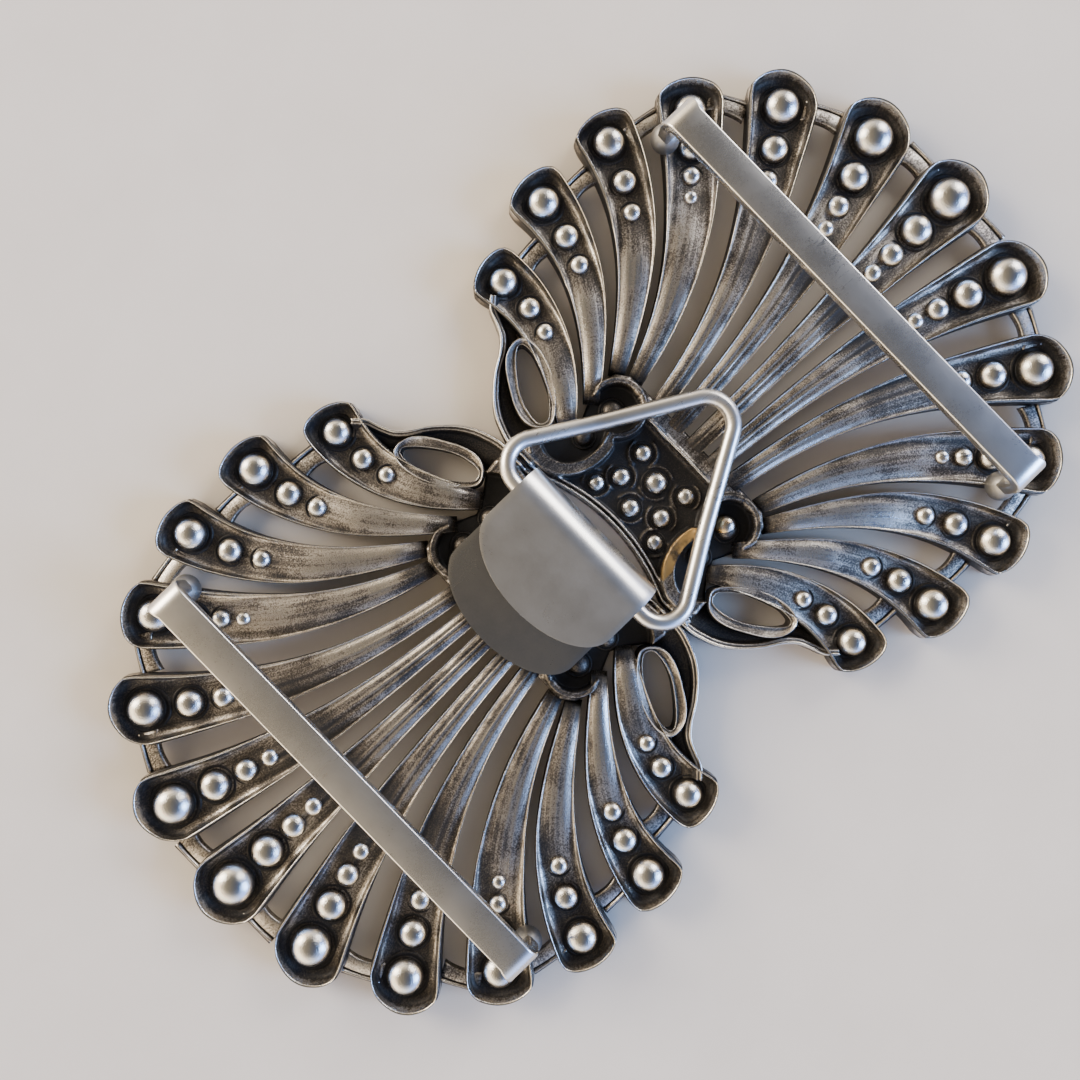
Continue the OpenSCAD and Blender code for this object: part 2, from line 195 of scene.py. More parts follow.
class ClaspLoop(bpy.types.PropertyGroup):
    wire: FloatProperty(
        name="Wire", description="Diameter of the wire", default=1.4 * MM, unit="LENGTH", precision=5)
    height: FloatProperty(
        name="Height", description="Height of the triangle before its corners are rounded",
        default=20.0 * MM, unit="LENGTH", precision=5)
    corner: FloatProperty(
        name="Corner", description="Radius of the corners at the wire's middle", default=2.35 * MM,
        unit="LENGTH", precision=5)
    sides: IntProperty(
        name="Sides", description="Faces round the wire", default=24, min=8, max=64)


class ClaspStage(bpy.types.PropertyGroup):
    floor: FloatVectorProperty(
        name="Floor", description="Colour of the floor",
        default=(0.71, 0.645, 0.57), subtype="COLOR", size=3, min=0, max=1)
    window_light: FloatProperty(
        name="Window light", description="Power of the light beyond the loop side",
        default=13.5, unit="POWER")
    warm_light: FloatProperty(
        name="Warm light", description="Power of the warm light", default=20.0, unit="POWER")
    cool_light: FloatProperty(
        name="Cool light", description="Power of the cool light", default=28.0, unit="POWER")
    room_light: FloatProperty(
        name="Room light", description="Strength of the light from all round", default=5.0)
    lens: FloatProperty(
        name="Lens", description="Focal length in millimetres on a 36 mm sensor", default=32.35)


# Node helpers

class Field:
    """A number in a node tree. Python's arithmetic on it adds the tree's Math nodes."""

    def __init__(self, socket):
        self.socket = socket

    def math(self, operation, *others):
        node = self.socket.id_data.nodes.new("ShaderNodeMath")
        node.operation = operation
        for slot, value in zip(node.inputs, (self, *others)):
            feed(slot, value)
        return Field(node.outputs[0])

    def __add__(self, other):
        return self.math("ADD", other)

    def __sub__(self, other):
        return self.math("SUBTRACT", other)

    def __mul__(self, other):
        return self.math("MULTIPLY", other)

    def __truediv__(self, other):
        return self.math("DIVIDE", other)

    def __pow__(self, other):
        return self.math("POWER", other)

    def __rsub__(self, other):
        return self.math("MULTIPLY_ADD", -1.0, other)

    __radd__ = __add__
    __rmul__ = __mul__

    def at_least(self, low):
        return self.math("MAXIMUM", low)

    def at_most(self, high):
        return self.math("MINIMUM", high)

    def below(self, limit):
        return self.math("LESS_THAN", limit)

    def root(self):
        return self.math("SQRT")

    def magnitude(self):
        return self.math("ABSOLUTE")

    def towards(self, other, share):
        """The value that lies at that share of the way from this one to the other."""
        return self + (as_field(self, other) - self) * share


def as_field(like, value):
    """A plain number as a field in the tree of another field."""
    return value if isinstance(value, Field) else like * 0.0 + value


def feed(slot, value):
    """Links a socket or field to an input, or sets the input's own value."""
    if isinstance(value, Field):
        value = value.socket
    if isinstance(value, bpy.types.NodeSocket):
        slot.id_data.links.new(value, slot)
    else:
        slot.default_value = value


def add_node(tree, kind, inputs=None, **settings):
    """A new node with its settings, and its inputs given by name or number."""
    node = tree.nodes.new(kind)
    for name, value in settings.items():
        setattr(node, name, value)
    for name, value in (inputs or {}).items():
        feed(node.inputs[name], value)
    return node


def map_range(tree, value, low, high, start=0.0, end=1.0):
    """The value's smooth step from low to high."""
    node = add_node(tree, "ShaderNodeMapRange", interpolation_type="SMOOTHSTEP")
    for slot, number in zip(node.inputs, (value, low, high, start, end)):
        feed(slot, number)
    return Field(node.outputs[0])


def profile_curve(tree, value, points):
    """The value looked up on straight lines between points from 0 to 1."""
    node = add_node(tree, "ShaderNodeFloatCurve", {"Value": value})
    line = node.mapping.curves[0]
    line.points[0].location = points[0]
    line.points[1].location = points[-1]
    for point in points[1:-1]:
        line.points.new(*point)
    for point in line.points:
        point.handle_type = "VECTOR"
    node.mapping.update()
    return Field(node.outputs[0])


def axes(tree, vector):
    """X, Y and Z of a vector as fields."""
    return [Field(s) for s in add_node(tree, "ShaderNodeSeparateXYZ", {"Vector": vector}).outputs]


def vector_of(tree, x, y, z):
    """A vector of three fields or numbers."""
    return add_node(tree, "ShaderNodeCombineXYZ", {"X": x, "Y": y, "Z": z}).outputs["Vector"]


def new_geometry_tree(name, inputs):
    """A geometry tree with named inputs. Returns the tree, its inputs by name and its output node."""
    tree = bpy.data.node_groups.new(name, "GeometryNodeTree")
    tree.interface.new_socket("Geometry", in_out="INPUT", socket_type="NodeSocketGeometry")
    for label, kind in inputs.items():
        tree.interface.new_socket(label, in_out="INPUT", socket_type=kind)
    tree.interface.new_socket("Geometry", in_out="OUTPUT", socket_type="NodeSocketGeometry")
    given = tree.nodes.new("NodeGroupInput")
    by_name = {socket.name: socket for socket in given.outputs if socket.name}
    return tree, by_name, tree.nodes.new("NodeGroupOutput")


def finish_tree(tree, output, geometry, material):
    """Ends a tree with real geometry, smooth faces and the material."""
    real = add_node(tree, "GeometryNodeRealizeInstances", {"Geometry": geometry})
    smooth = add_node(tree, "GeometryNodeSetShadeSmooth", {"Geometry": real.outputs[0]})
    painted = add_node(tree, "GeometryNodeSetMaterial", {"Geometry": smooth.outputs[0], "Material": material})
    feed(output.inputs[0], painted.outputs[0])


def grown(name, base, tree, values):
    """The plain mesh object that a geometry tree makes of a base object, which is removed."""
    modifier = base.modifiers.new(tree.name, "NODES")
    modifier.node_group = tree
    for item in tree.interface.items_tree:
        if item.item_type == "SOCKET" and item.in_out == "INPUT" and item.name in values:
            modifier[item.identifier] = values[item.name]
    depsgraph = bpy.context.evaluated_depsgraph_get()
    mesh = bpy.data.meshes.new_from_object(
        base.evaluated_get(depsgraph), preserve_all_data_layers=True, depsgraph=depsgraph)
    bpy.data.objects.remove(base)
    if not mesh.polygons:
        raise RuntimeError(f"{name} has no faces")
    return linked(name, mesh)


def linked(name, data):
    obj = bpy.data.objects.new(name, data)
    bpy.context.scene.collection.objects.link(obj)
    return obj


# Mesh helpers

def mesh_object(name, points, faces, values=None, material=None, scale=MM):
    """A smooth mesh object. values holds number attributes of the points by name."""
    mesh = bpy.data.meshes.new(name)
    mesh.from_pydata([tuple(float(c) * scale for c in p) for p in points], [], faces)
    for label, numbers in (values or {}).items():
        mesh.attributes.new(label, "FLOAT", "POINT").data.foreach_set("value", [float(n) for n in numbers])
    mesh.polygons.foreach_set("use_smooth", [True] * len(mesh.polygons))
    if material:
        mesh.materials.append(material)
    mesh.update()
    return linked(name, mesh)


def joined(name, objects):
    """Several mesh objects as one."""
    bpy.ops.object.select_all(action="DESELECT")
    for obj in objects:
        obj.select_set(True)
    bpy.context.view_layer.objects.active = objects[0]
    bpy.ops.object.join()
    objects[0].name = name
    objects[0].data.name = name
    return objects[0]


def copy_at(name, source, matrix):
    """A copy of a mesh object with its place in its mesh."""
    mesh = source.data.copy()
    mesh.transform(matrix)
    return linked(name, mesh)


def set_grain(obj, rows):
    """Stores each point's place across and along the metal, which the polishing streaks follow."""
    obj.data.attributes.new("grain", "FLOAT_VECTOR", "POINT").data.foreach_set(
        "vector", [float(c) for row in rows for c in row])


def correct_normals(obj):
    """Merges doubles and turns all faces outwards."""
    bm = bmesh.new()
    bm.from_mesh(obj.data)
    bmesh.ops.remove_doubles(bm, verts=bm.verts, dist=0.000001)
    bmesh.ops.recalc_face_normals(bm, faces=bm.faces)
    bm.to_mesh(obj.data)
    bm.free()


def soften_edges(obj, width):
    """Rounds the sharp edges and keeps the result as a plain mesh."""
    bevel = obj.modifiers.new("Bevel", "BEVEL")
    bevel.width = width
    bevel.segments = 3
    bevel.limit_method = "ANGLE"
    bevel.angle_limit = radians(50)
    bevel.harden_normals = False
    depsgraph = bpy.context.evaluated_depsgraph_get()
    mesh = bpy.data.meshes.new_from_object(obj.evaluated_get(depsgraph), depsgraph=depsgraph)
    obj.modifiers.clear()
    obj.data = mesh


def grid_faces(rows, columns):
    """Faces of a grid of points that runs column by column within each row."""
    stride = columns + 1
    return [(i * stride + j, i * stride + j + 1, (i + 1) * stride + j + 1, (i + 1) * stride + j)
            for i in range(rows) for j in range(columns)]


def loft_faces(rings, size, closed_ends=True):
    """Faces between rings of points, with each end closed by one face."""
    faces = [(i * size + j, i * size + (j + 1) % size, (i + 1) * size + (j + 1) % size, (i + 1) * size + j)
             for i in range(rings - 1) for j in range(size)]
    if closed_ends:
        faces.append(tuple(reversed(range(size))))
        faces.append(tuple(range((rings - 1) * size, rings * size)))
    return faces


def turned(name, profile, sides, material=None, scale=MM, worn=0.0):
    """A turned shape. profile has rows of radius, height and polish, from the top's middle outwards."""
    points = [(0, 0, profile[0][1])]
    polish = [profile[0][2]]
    for radius, height, shine in profile[1:]:
        for k in range(sides):
            a = 2 * pi * k / sides
            points.append((radius * cos(a), radius * sin(a), height))
            polish.append(shine)
    faces = [(0, 1 + k, 1 + (k + 1) % sides) for k in range(sides)]
    for i in range(len(profile) - 2):
        inner, outer = 1 + i * sides, 1 + (i + 1) * sides
        faces += [(inner + k, outer + k, outer + (k + 1) % sides, inner + (k + 1) % sides)
                  for k in range(sides)]
    last = 1 + (len(profile) - 2) * sides
    faces.append(tuple(last + k for k in reversed(range(sides))))
    return mesh_object(name, points, faces, {"polish": polish, "worn": [worn] * len(points)}, material, scale)


# Materials

BLACK = (0, 0, 0)
WHITE = (1, 1, 1)
# What shows where the silver tone has worn off, and the dark oxide and painted shade that darken the steel
BRASS = (0.55, 0.37, 0.16)
DARK_OXIDE_AND_SHADE = (0.06, 0.062, 0.068)


def shader_group(name, inputs, outputs):
    """A shader group with number or vector sockets. Returns the group, its inputs and its output node."""
    group = bpy.data.node_groups.new(name, "ShaderNodeTree")
    for label, kind in inputs.items():
        group.interface.new_socket(label, in_out="INPUT", socket_type=kind)
    for label in outputs:
        group.interface.new_socket(label, in_out="OUTPUT", socket_type="NodeSocketFloat")
    given = group.nodes.new("NodeGroupInput")
    by_name = {socket.name: socket for socket in given.outputs if socket.name}
    return group, by_name, group.nodes.new("NodeGroupOutput")


def noise(tree, vector, scale, detail=3.0, roughness=0.5, stretch=(1, 1, 1)):
    """Noise as a field, on a vector that is first stretched."""
    place = add_node(tree, "ShaderNodeMapping", {"Vector": vector, "Scale": stretch})
    return Field(add_node(tree, "ShaderNodeTexNoise", {
        "Vector": place.outputs[0], "Scale": scale, "Detail": detail, "Roughness": roughness}).outputs[0])


def hand_polish_group():
    """Streaks of a polishing cloth along the grain, cloudy tarnish and fine cast specks."""
    inputs = {"Place": "NodeSocketVector", "Grain": "NodeSocketVector"}
    group, given, output = shader_group("Hand polish", inputs, ["Streaks", "Clouds", "Specks"])
    streaks = noise(group, given["Grain"], 1000, 3, 0.6, (2.2, 0.06, 1))
    clouds = noise(group, given["Place"], 330, 3, 0.55)
    specks = noise(group, given["Place"], 8500, 3, 0.7)
    feed(output.inputs["Streaks"], map_range(group, streaks, 0.3, 0.7))
    feed(output.inputs["Clouds"], map_range(group, clouds, 0.32, 0.68))
    feed(output.inputs["Specks"], map_range(group, specks, 0.3, 0.7))
    return group


def soft_scuffs_group():
    """Satin grain with a few fine scuffs."""
    inputs = {"Place": "NodeSocketVector"}
    group, given, output = shader_group("Soft scuffs", inputs, ["Grain", "Scuffs", "Clouds"])
    grain = noise(group, given["Place"], 7000, 2, 0.6)
    clouds = noise(group, given["Place"], 210, 3, 0.5)
    line = noise(group, given["Place"], 420, 2, 0.4, (1, 3.2, 1))
    patch = noise(group, given["Place"], 130, 1, 0.5)
    thin = 1 - map_range(group, (line - 0.5).magnitude(), 0.002, 0.012)
    feed(output.inputs["Grain"], grain)
    feed(output.inputs["Scuffs"], thin * map_range(group, patch, 0.56, 0.66))
    feed(output.inputs["Clouds"], map_range(group, clouds, 0.3, 0.7))
    return group


def new_material(name, inputs):
    """A material with a Principled shader whose constant inputs are set on its own sockets."""
    material = bpy.data.materials.new(name)
    material.use_nodes = True
    tree = material.node_tree
    shader = tree.nodes["Principled BSDF"]
    for label, value in inputs.items():
        shader.inputs[label].default_value = value
    return material, tree, shader


def colour_ramp(tree, value, stops):
    """A colour looked up between stops of place and colour."""
    node = add_node(tree, "ShaderNodeValToRGB", {"Fac": value})
    steps = node.color_ramp.elements
    while len(steps) < len(stops):
        steps.new(0.5)
    for step, (place, colour) in zip(steps, stops):
        step.position = place
        step.color = (*colour, 1)
    return node.outputs["Color"]


def colour_mix(tree, share, colour, other):
    """The colour that lies at that share of the way from a looked-up colour to a fixed one."""
    node = add_node(tree, "ShaderNodeMix", data_type="RGBA")
    first, second = (slot for slot in node.inputs if slot.type == "RGBA")
    feed(node.inputs["Factor"], share)
    feed(first, colour)
    second.default_value = (*other, 1)
    return next(slot for slot in node.outputs if slot.type == "RGBA")


def bump(tree, shader, height, strength, distance):
    node = add_node(tree, "ShaderNodeBump", {"Height": height, "Strength": strength, "Distance": distance})
    feed(shader.inputs["Normal"], node.outputs[0])


def object_place(tree):
    return tree.nodes.new("ShaderNodeTexCoord").outputs["Object"]


def attribute(tree, name, output="Fac"):
    return add_node(tree, "ShaderNodeAttribute", attribute_name=name).outputs[output]


def mixed(colour, other, share):
    return tuple(a + (b - a) * share for a, b in zip(colour, other))


def cast_silver(silver, tarnish):
    """Silver-toned casting, blackened in its recesses and polished on its rims, flanks and beads."""
    material, tree, shader = new_material("cast_silver", {"Specular IOR Level": 0.5})
    place = object_place(tree)
    # Besides real polish and patina, the polish attribute carries painted shade on the petals' walls and
    # flanks and beside the bars
    polish = Field(attribute(tree, "polish"))
    worn = Field(attribute(tree, "worn"))
    effects = add_node(tree, "ShaderNodeGroup", node_tree=hand_polish_group())
    feed(effects.inputs["Place"], place)
    feed(effects.inputs["Grain"], attribute(tree, "grain", "Vector"))
    streaks, clouds, specks = (Field(s) for s in effects.outputs)
    middle = 1 - (polish * 2 - 1).magnitude()
    shine = polish + ((streaks - 0.5) * 0.42 + (clouds - 0.5) * 0.40) * middle
    shine = shine + (specks - 0.5) * (0.22 + middle * 0.30)
    brown = mixed(silver, (0.36, 0.29, 0.22), 0.75)
    colour = colour_ramp(tree, shine, [
        (0.05, tarnish), (0.30, mixed(tarnish, brown, 0.26)),
        (0.55, mixed(brown, silver, 0.35)), (0.90, silver)])
    worn_through = map_range(tree, worn * (0.30 + clouds * 0.8), 0.45, 0.8)
    feed(shader.inputs["Base Color"], colour_mix(tree, worn_through, colour, BRASS))
    feed(shader.inputs["Metallic"], map_range(tree, shine, 0.0, 0.25, 0.55, 1.0))
    feed(shader.inputs["Roughness"], 0.47 - map_range(tree, shine, 0.1, 0.95) * 0.30 + specks * 0.07)
    bump(tree, shader, specks * 0.5 + streaks * 0.5, 0.35, 0.00004)
    return material


def satin_plate(name, satin, roughness):
    """Satin plated steel with a fine grain, soft clouds and a few scuffs."""
    material, tree, shader = new_material(name, {"Metallic": 1.0})
    effects = add_node(tree, "ShaderNodeGroup", node_tree=soft_scuffs_group())
    feed(effects.inputs["Place"], object_place(tree))
    grain, scuffs, clouds = (Field(s) for s in effects.outputs)
    shine = 0.35 + clouds * 0.3 + (grain - 0.5) * 0.15 + scuffs * 0.6
    colour = colour_ramp(tree, shine, [(0.0, mixed(satin, BLACK, 0.22)), (1.0, mixed(satin, WHITE, 0.22))])
    # Oxide and painted shade, where a piece's attribute asks for them
    dulled = Field(attribute(tree, "dulled")) * (0.55 + clouds * 0.2 + grain * 0.1)
    feed(shader.inputs["Base Color"], colour_mix(tree, dulled, colour, DARK_OXIDE_AND_SHADE))
    feed(shader.inputs["Roughness"], roughness + (grain - 0.5) * 0.08 + clouds * 0.05 - scuffs * 0.1)
    bump(tree, shader, grain - scuffs * 0.8, 0.08, 0.00001)
    return material


def pale_floor(colour):
    """A plain pale floor with hardly any grain."""
    material, tree, shader = new_material("pale_floor", {"Roughness": 0.95, "Specular IOR Level": 0.1})
    cloud = noise(tree, object_place(tree), 90, 4, 0.6)
    feed(shader.inputs["Base Color"], colour_ramp(tree, cloud, [
        (0.3, mixed(colour, BLACK, 0.03)), (0.7, mixed(colour, WHITE, 0.05))]))
    return material


# The casting

COLUMNS = 37
ROWS = 49
# Steps of the grid across a rim, and their share of half the columns and of the rows
RIM_STEPS = 13
SIDE_SHARE = RIM_STEPS / (COLUMNS // 2)
TIP_SHARE = RIM_STEPS / (ROWS - 1)
# How far a blade's crown rises, how deep its two grooves are, and where they run as shares of its half width
CROWN = 0.34
GROOVE = 0.16
GROOVE_PLACES = (-0.16, 0.24)
# How wide the columns of a rim are in the pocket and along the blade: a share of the half width, and
# millimetres on top
POCKET_RIM = (0.30, 0.35)
BLADE_RIM = (0.10, 0.16)
# Between these shares of a petal's length its floor sinks from the blade to the pocket
FLOOR_SINKS = (0.35, 0.8)
# How far from the tip the pocket of the beads reaches, and the metal beyond the largest bead
POCKET = 12.0
BEAD_WALL = 1.0
# A curve's handles as a share of its length, and the painted shade across the petal on the middle line, which
# darkens one of its flanks
HANDLE_SHARE = 0.38
MIDDLE_PAINTED_SHADE = 0.4

PETAL_INPUTS = {
    "NodeSocketVector": ["Root", "Root Handle", "Tip Handle", "Tip"],
    "NodeSocketFloat": [
        "Root Half Width", "Tip Half Width", "Flare", "Bulge", "Tilt", "Left Corner", "Right Corner",
        "Root Rim", "Tip Rim", "Root Floor", "Tip Floor", "Edge", "Pocket", "Crease", "Shade", "Smoke",
        "Largest Bead", "Bead Ratio", "Bead Pitch", "First Bead"],
    "NodeSocketInt": ["Beads"],
    "NodeSocketObject": ["Bead"],
    "NodeSocketMaterial": ["Material"],
}

# Where a point of the grid lies in a petal. t goes from 0 at the root to 1 at the tip, ring from 0 at the
# outline to 1 inside the rim, and share from -1 to 1 across. pocket is 1 in the pocket of the beads, and
# is_root at the root's edge. The others are lengths.
Place = namedtuple("Place", "t ring share offset from_tip from_root flat_x flat_y pocket is_root")


def rim_zone(half, rim):
    share, more = rim
    return half * share + more * MM


def petal_place(tree, number, middle, length):
    """The place of each point. The rims keep their own width in columns that follow the outline, and the
    tip's corners are rounded by turning those columns round them."""
    across, along, _ = axes(tree, tree.nodes.new("GeometryNodeInputPosition").outputs[0])
    row = along + 0.5
    side_step = (1 - across.magnitude()) / SIDE_SHARE
    tip_step = (1 - row) / TIP_SHARE
    ring = side_step.at_most(1.0).at_most(tip_step)

    # Distances from the side and the tip, with the corners turned round
    tip_zone = rim_zone(number["Tip Half Width"], POCKET_RIM)
    narrow_outside = [(0, 0), (0.36, 0.07), (0.46, 0.12), (0.60, 0.24), (0.72, 0.42), (1, 1)]
    p, q = (1 - profile_curve(tree, step.at_most(1.0), narrow_outside) for step in (side_step, tip_step))
    turn = p.at_least(q) / (p * p + q * q).root().at_least(0.000001)
    corner = number["Right Corner"].towards(number["Left Corner"], across.below(0.0))
    turn = 1 + (turn - 1) * corner
    inward_rows = (tip_step - 1).at_least(0.0) * (TIP_SHARE / (1 - TIP_SHARE))
    from_tip = tip_zone * (1 - q * turn) + (length - tip_zone) * inward_rows
    t = 1 - from_tip / length
    half = number["Root Half Width"].towards(number["Tip Half Width"], t.at_least(0.0) ** number["Flare"])
    pocket = 1 - map_range(tree, from_tip, number["Pocket"] * 0.45, number["Pocket"])
    side_zone = rim_zone(half, BLADE_RIM).towards(rim_zone(half, POCKET_RIM), pocket)
    inward_columns = (side_step - 1).at_least(0.0) * (SIDE_SHARE / (1 - SIDE_SHARE))
    from_side = side_zone * (1 - p * turn) + (half - side_zone) * inward_columns
    offset = (half - from_side) * across.math("SIGN")
    share = offset / half

    from_root = length - from_tip
    sample = add_node(tree, "GeometryNodeSampleCurve", {"Curves": middle, "Length": from_root}, mode="LENGTH")
    x, y, _ = axes(tree, sample.outputs["Position"])
    ahead_x, ahead_y, _ = axes(tree, sample.outputs["Tangent"])
    ahead = (number["Bulge"] * (1 - share * share) + number["Tilt"] * share) * t ** 4
    flat_x = x + ahead_y * offset + ahead_x * ahead
    flat_y = y - ahead_x * offset + ahead_y * ahead
    return Place(t, ring, share, offset, from_tip, from_root, flat_x, flat_y, pocket, row.below(0.001))


def petal_crease(tree, number, place):
    """How deep the point lies in one of the blade's two grooves, from 0 to 1."""
    lines = [1 - map_range(tree, (place.share - groove).magnitude(), 0.02, 0.15) for groove in GROOVE_PLACES]
    return number["Crease"] * lines[0].at_least(lines[1] * 0.7) * (1 - place.pocket)


def petal_heights(tree, number, place, crease):
    """The heights of a petal's back and of its rounded front."""
    edge = number["Edge"]
    rim = number["Root Rim"].towards(number["Tip Rim"], place.t)
    floor = number["Root Floor"].towards(number["Tip Floor"], map_range(tree, place.t, *FLOOR_SINKS))
    crown = (1 - place.share * place.share) * (1 - place.pocket * 1.3) * CROWN * MM
    blade = floor + crown - crease * GROOVE * MM
    inner_foot, inner_top = place.pocket * 0.3 + 0.2, place.pocket * 0.4 + 0.5
    base = edge.towards(blade, map_range(tree, place.ring, inner_foot, inner_top))
    rim_rise = profile_curve(tree, place.ring, [
        (0, 0), (0.05, 0.10), (0.36, 0.62), (0.42, 0.66), (0.46, 0.52), (0.51, 0.97), (0.55, 1.0),
        (0.60, 0.95), (0.70, 0.32), (0.80, 0.08), (0.87, 0.10), (0.94, 0.01), (1, 0)])
    # The root rises out of the hub
    out_of_hub = map_range(tree, place.from_root, -0.5 * MM, 2.6 * MM)
    back_z = edge.towards(base + (rim - base) * rim_rise, 0.5 + out_of_hub * 0.5)
    front = edge * profile_curve(tree, place.ring, [(0, 1), (0.12, 0.62), (0.3, 0.30), (0.6, 0.06), (1, 0)])
    return back_z.towards(edge, place.is_root), front.towards(edge, place.is_root)


def petal_polish(tree, number, place, crease):
    """How polished a petal's back is: bright rims, dark pockets, walls and one flank darkened with painted
    shade, and blades darker towards the bar with patina and the bar's painted shade.
    """
    share, ring, from_tip = place.share, place.ring, place.from_tip
    end_polish = profile_curve(tree, ring, [
        (0, 0.20), (0.2, 0.42), (0.36, 0.50), (0.42, 0.22), (0.46, 0.02), (0.51, 0.95), (0.57, 1),
        (0.62, 0.7), (0.70, 0.08), (0.78, 0), (1, 0)])
    # Along the blade the outer wall is dark, painted shade that keeps the gaps between petals dark, and its
    # crest is polished
    wall_polish_and_shade = profile_curve(tree, ring, [
        (0, 0), (0.44, 0.04), (0.50, 0.95), (0.57, 1), (0.64, 0.8), (0.76, 0.35), (0.87, 0.12), (1, 0)])
    near_end = 1 - map_range(tree, from_tip, 0.8 * MM, 2.2 * MM)
    rim_polish = wall_polish_and_shade.towards(end_polish, near_end)
    inner = profile_curve(tree, ring, [(0, 0), (0.64, 0), (0.76, 0.4), (0.87, 0.8), (1, 1)])
    # Beside the bar the blade is darkened with patina and with painted shade and reflection of the bar
    bar_shade_begins = map_range(tree, from_tip, 9 * MM, 12.5 * MM)
    bar_patina_and_shade = bar_shade_begins * (1 - map_range(tree, from_tip, 15 * MM, 19 * MM)) * number["Smoke"]
    # One flank of each blade is painted darker than the other, painted shade as if lit from one side; the
    # blade is also darker towards its edges and in its grooves
    flank = 0.55 - share * share * 0.12 - share * number["Shade"] * 0.16 - crease * 0.30 - bar_patina_and_shade
    depth = profile_curve(tree, from_tip / number["Pocket"], [
        (0, 0.0), (0.38, 0.03), (0.55, 0.30), (0.8, 0.50), (1, 1)])
    polish = rim_polish + inner * (0.13 + (flank - 0.13) * depth)
    return polish * map_range(tree, place.t, 0.02, 0.14, 0.2, 1.0)


def petal_side(tree, place, z, polish):
    """One side of a petal: the grid set to its place, with the attributes that its metal reads."""
    grid = add_node(tree, "GeometryNodeMeshGrid", {
        "Size X": 2.0, "Size Y": 1.0, "Vertices X": COLUMNS, "Vertices Y": ROWS}).outputs[0]
    marked = add_node(tree, "GeometryNodeStoreNamedAttribute", {
        "Geometry": grid, "Name": "polish", "Value": polish}, data_type="FLOAT")
    grain = vector_of(tree, place.offset, place.from_tip, 0.0)
    grained = add_node(tree, "GeometryNodeStoreNamedAttribute", {
        "Geometry": marked.outputs[0], "Name": "grain", "Value": grain}, data_type="FLOAT_VECTOR")
    position = vector_of(tree, place.flat_x, place.flat_y, z)
    return add_node(tree, "GeometryNodeSetPosition", {
        "Geometry": grained.outputs[0], "Position": position}).outputs[0]


def petal_beads(tree, given, number, middle, length):
    """Beads in a row along the middle, each smaller than the one before."""
    index = Field(tree.nodes.new("GeometryNodeInputIndex").outputs[0])
    ratio = number["Bead Ratio"]
    size = ratio ** index
    step = number["Bead Pitch"] * number["Largest Bead"]
    back = number["First Bead"] + step * (1 + ratio) * (1 - size) / (1 - ratio)
    bead_place = add_node(tree, "GeometryNodeSampleCurve", {
        "Curves": middle, "Length": length - back}, mode="LENGTH").outputs["Position"]
    bead_x, bead_y, _ = axes(tree, bead_place)
    sinks = map_range(tree, 1 - back / length, *FLOOR_SINKS)
    bead_z = number["Root Floor"].towards(number["Tip Floor"], sinks)
    points = add_node(tree, "GeometryNodePoints", {
        "Count": given["Beads"], "Position": vector_of(tree, bead_x, bead_y, bead_z)})
    pattern = add_node(tree, "GeometryNodeObjectInfo", {"Object": given["Bead"]}).outputs["Geometry"]
    radius = number["Largest Bead"] * size
    scale = vector_of(tree, radius, radius, radius)
    return add_node(tree, "GeometryNodeInstanceOnPoints", {
        "Points": points.outputs[0], "Instance": pattern, "Scale": scale}).outputs[0]


def joined_geometry(tree, parts):
    node = tree.nodes.new("GeometryNodeJoinGeometry")
    for part in parts:
        tree.links.new(part, node.inputs[0])
    return node.outputs[0]


def petal_tree():
    """Grows one petal and its beads along a curve."""
    tree, given, output = new_geometry_tree("Petal", {
        name: kind for kind, names in PETAL_INPUTS.items() for name in names})
    number = {name: Field(socket) for name, socket in given.items()}
    middle = add_node(tree, "GeometryNodeCurvePrimitiveBezierSegment", {
        "Resolution": 48, "Start": given["Root"], "Start Handle": given["Root Handle"],
        "End Handle": given["Tip Handle"], "End": given["Tip"]}).outputs[0]
    length = Field(add_node(tree, "GeometryNodeCurveLength", {"Curve": middle}).outputs[0])
    place = petal_place(tree, number, middle, length)
    crease = petal_crease(tree, number, place)
    back_z, front_z = petal_heights(tree, number, place, crease)
    back = petal_side(tree, place, back_z, petal_polish(tree, number, place, crease))
    # The front is darkest at its outer edge, painted shade that keeps the gaps between petals dark
    front = petal_side(tree, place, front_z, 0.08 + map_range(tree, place.ring, 0.3, 0.7) * 0.6)
    front = add_node(tree, "GeometryNodeFlipFaces", {"Mesh": front}).outputs[0]
    skin = joined_geometry(tree, [back, front])
    closed = add_node(tree, "GeometryNodeMergeByDistance", {
        "Geometry": skin, "Distance": 0.002 * MM}).outputs[0]
    beads = petal_beads(tree, given, number, middle, length)
    finish_tree(tree, output, joined_geometry(tree, [closed, beads]), given["Material"])
    return tree


def direction(turn):
    return Vector((cos(radians(turn)), sin(radians(turn)), 0))


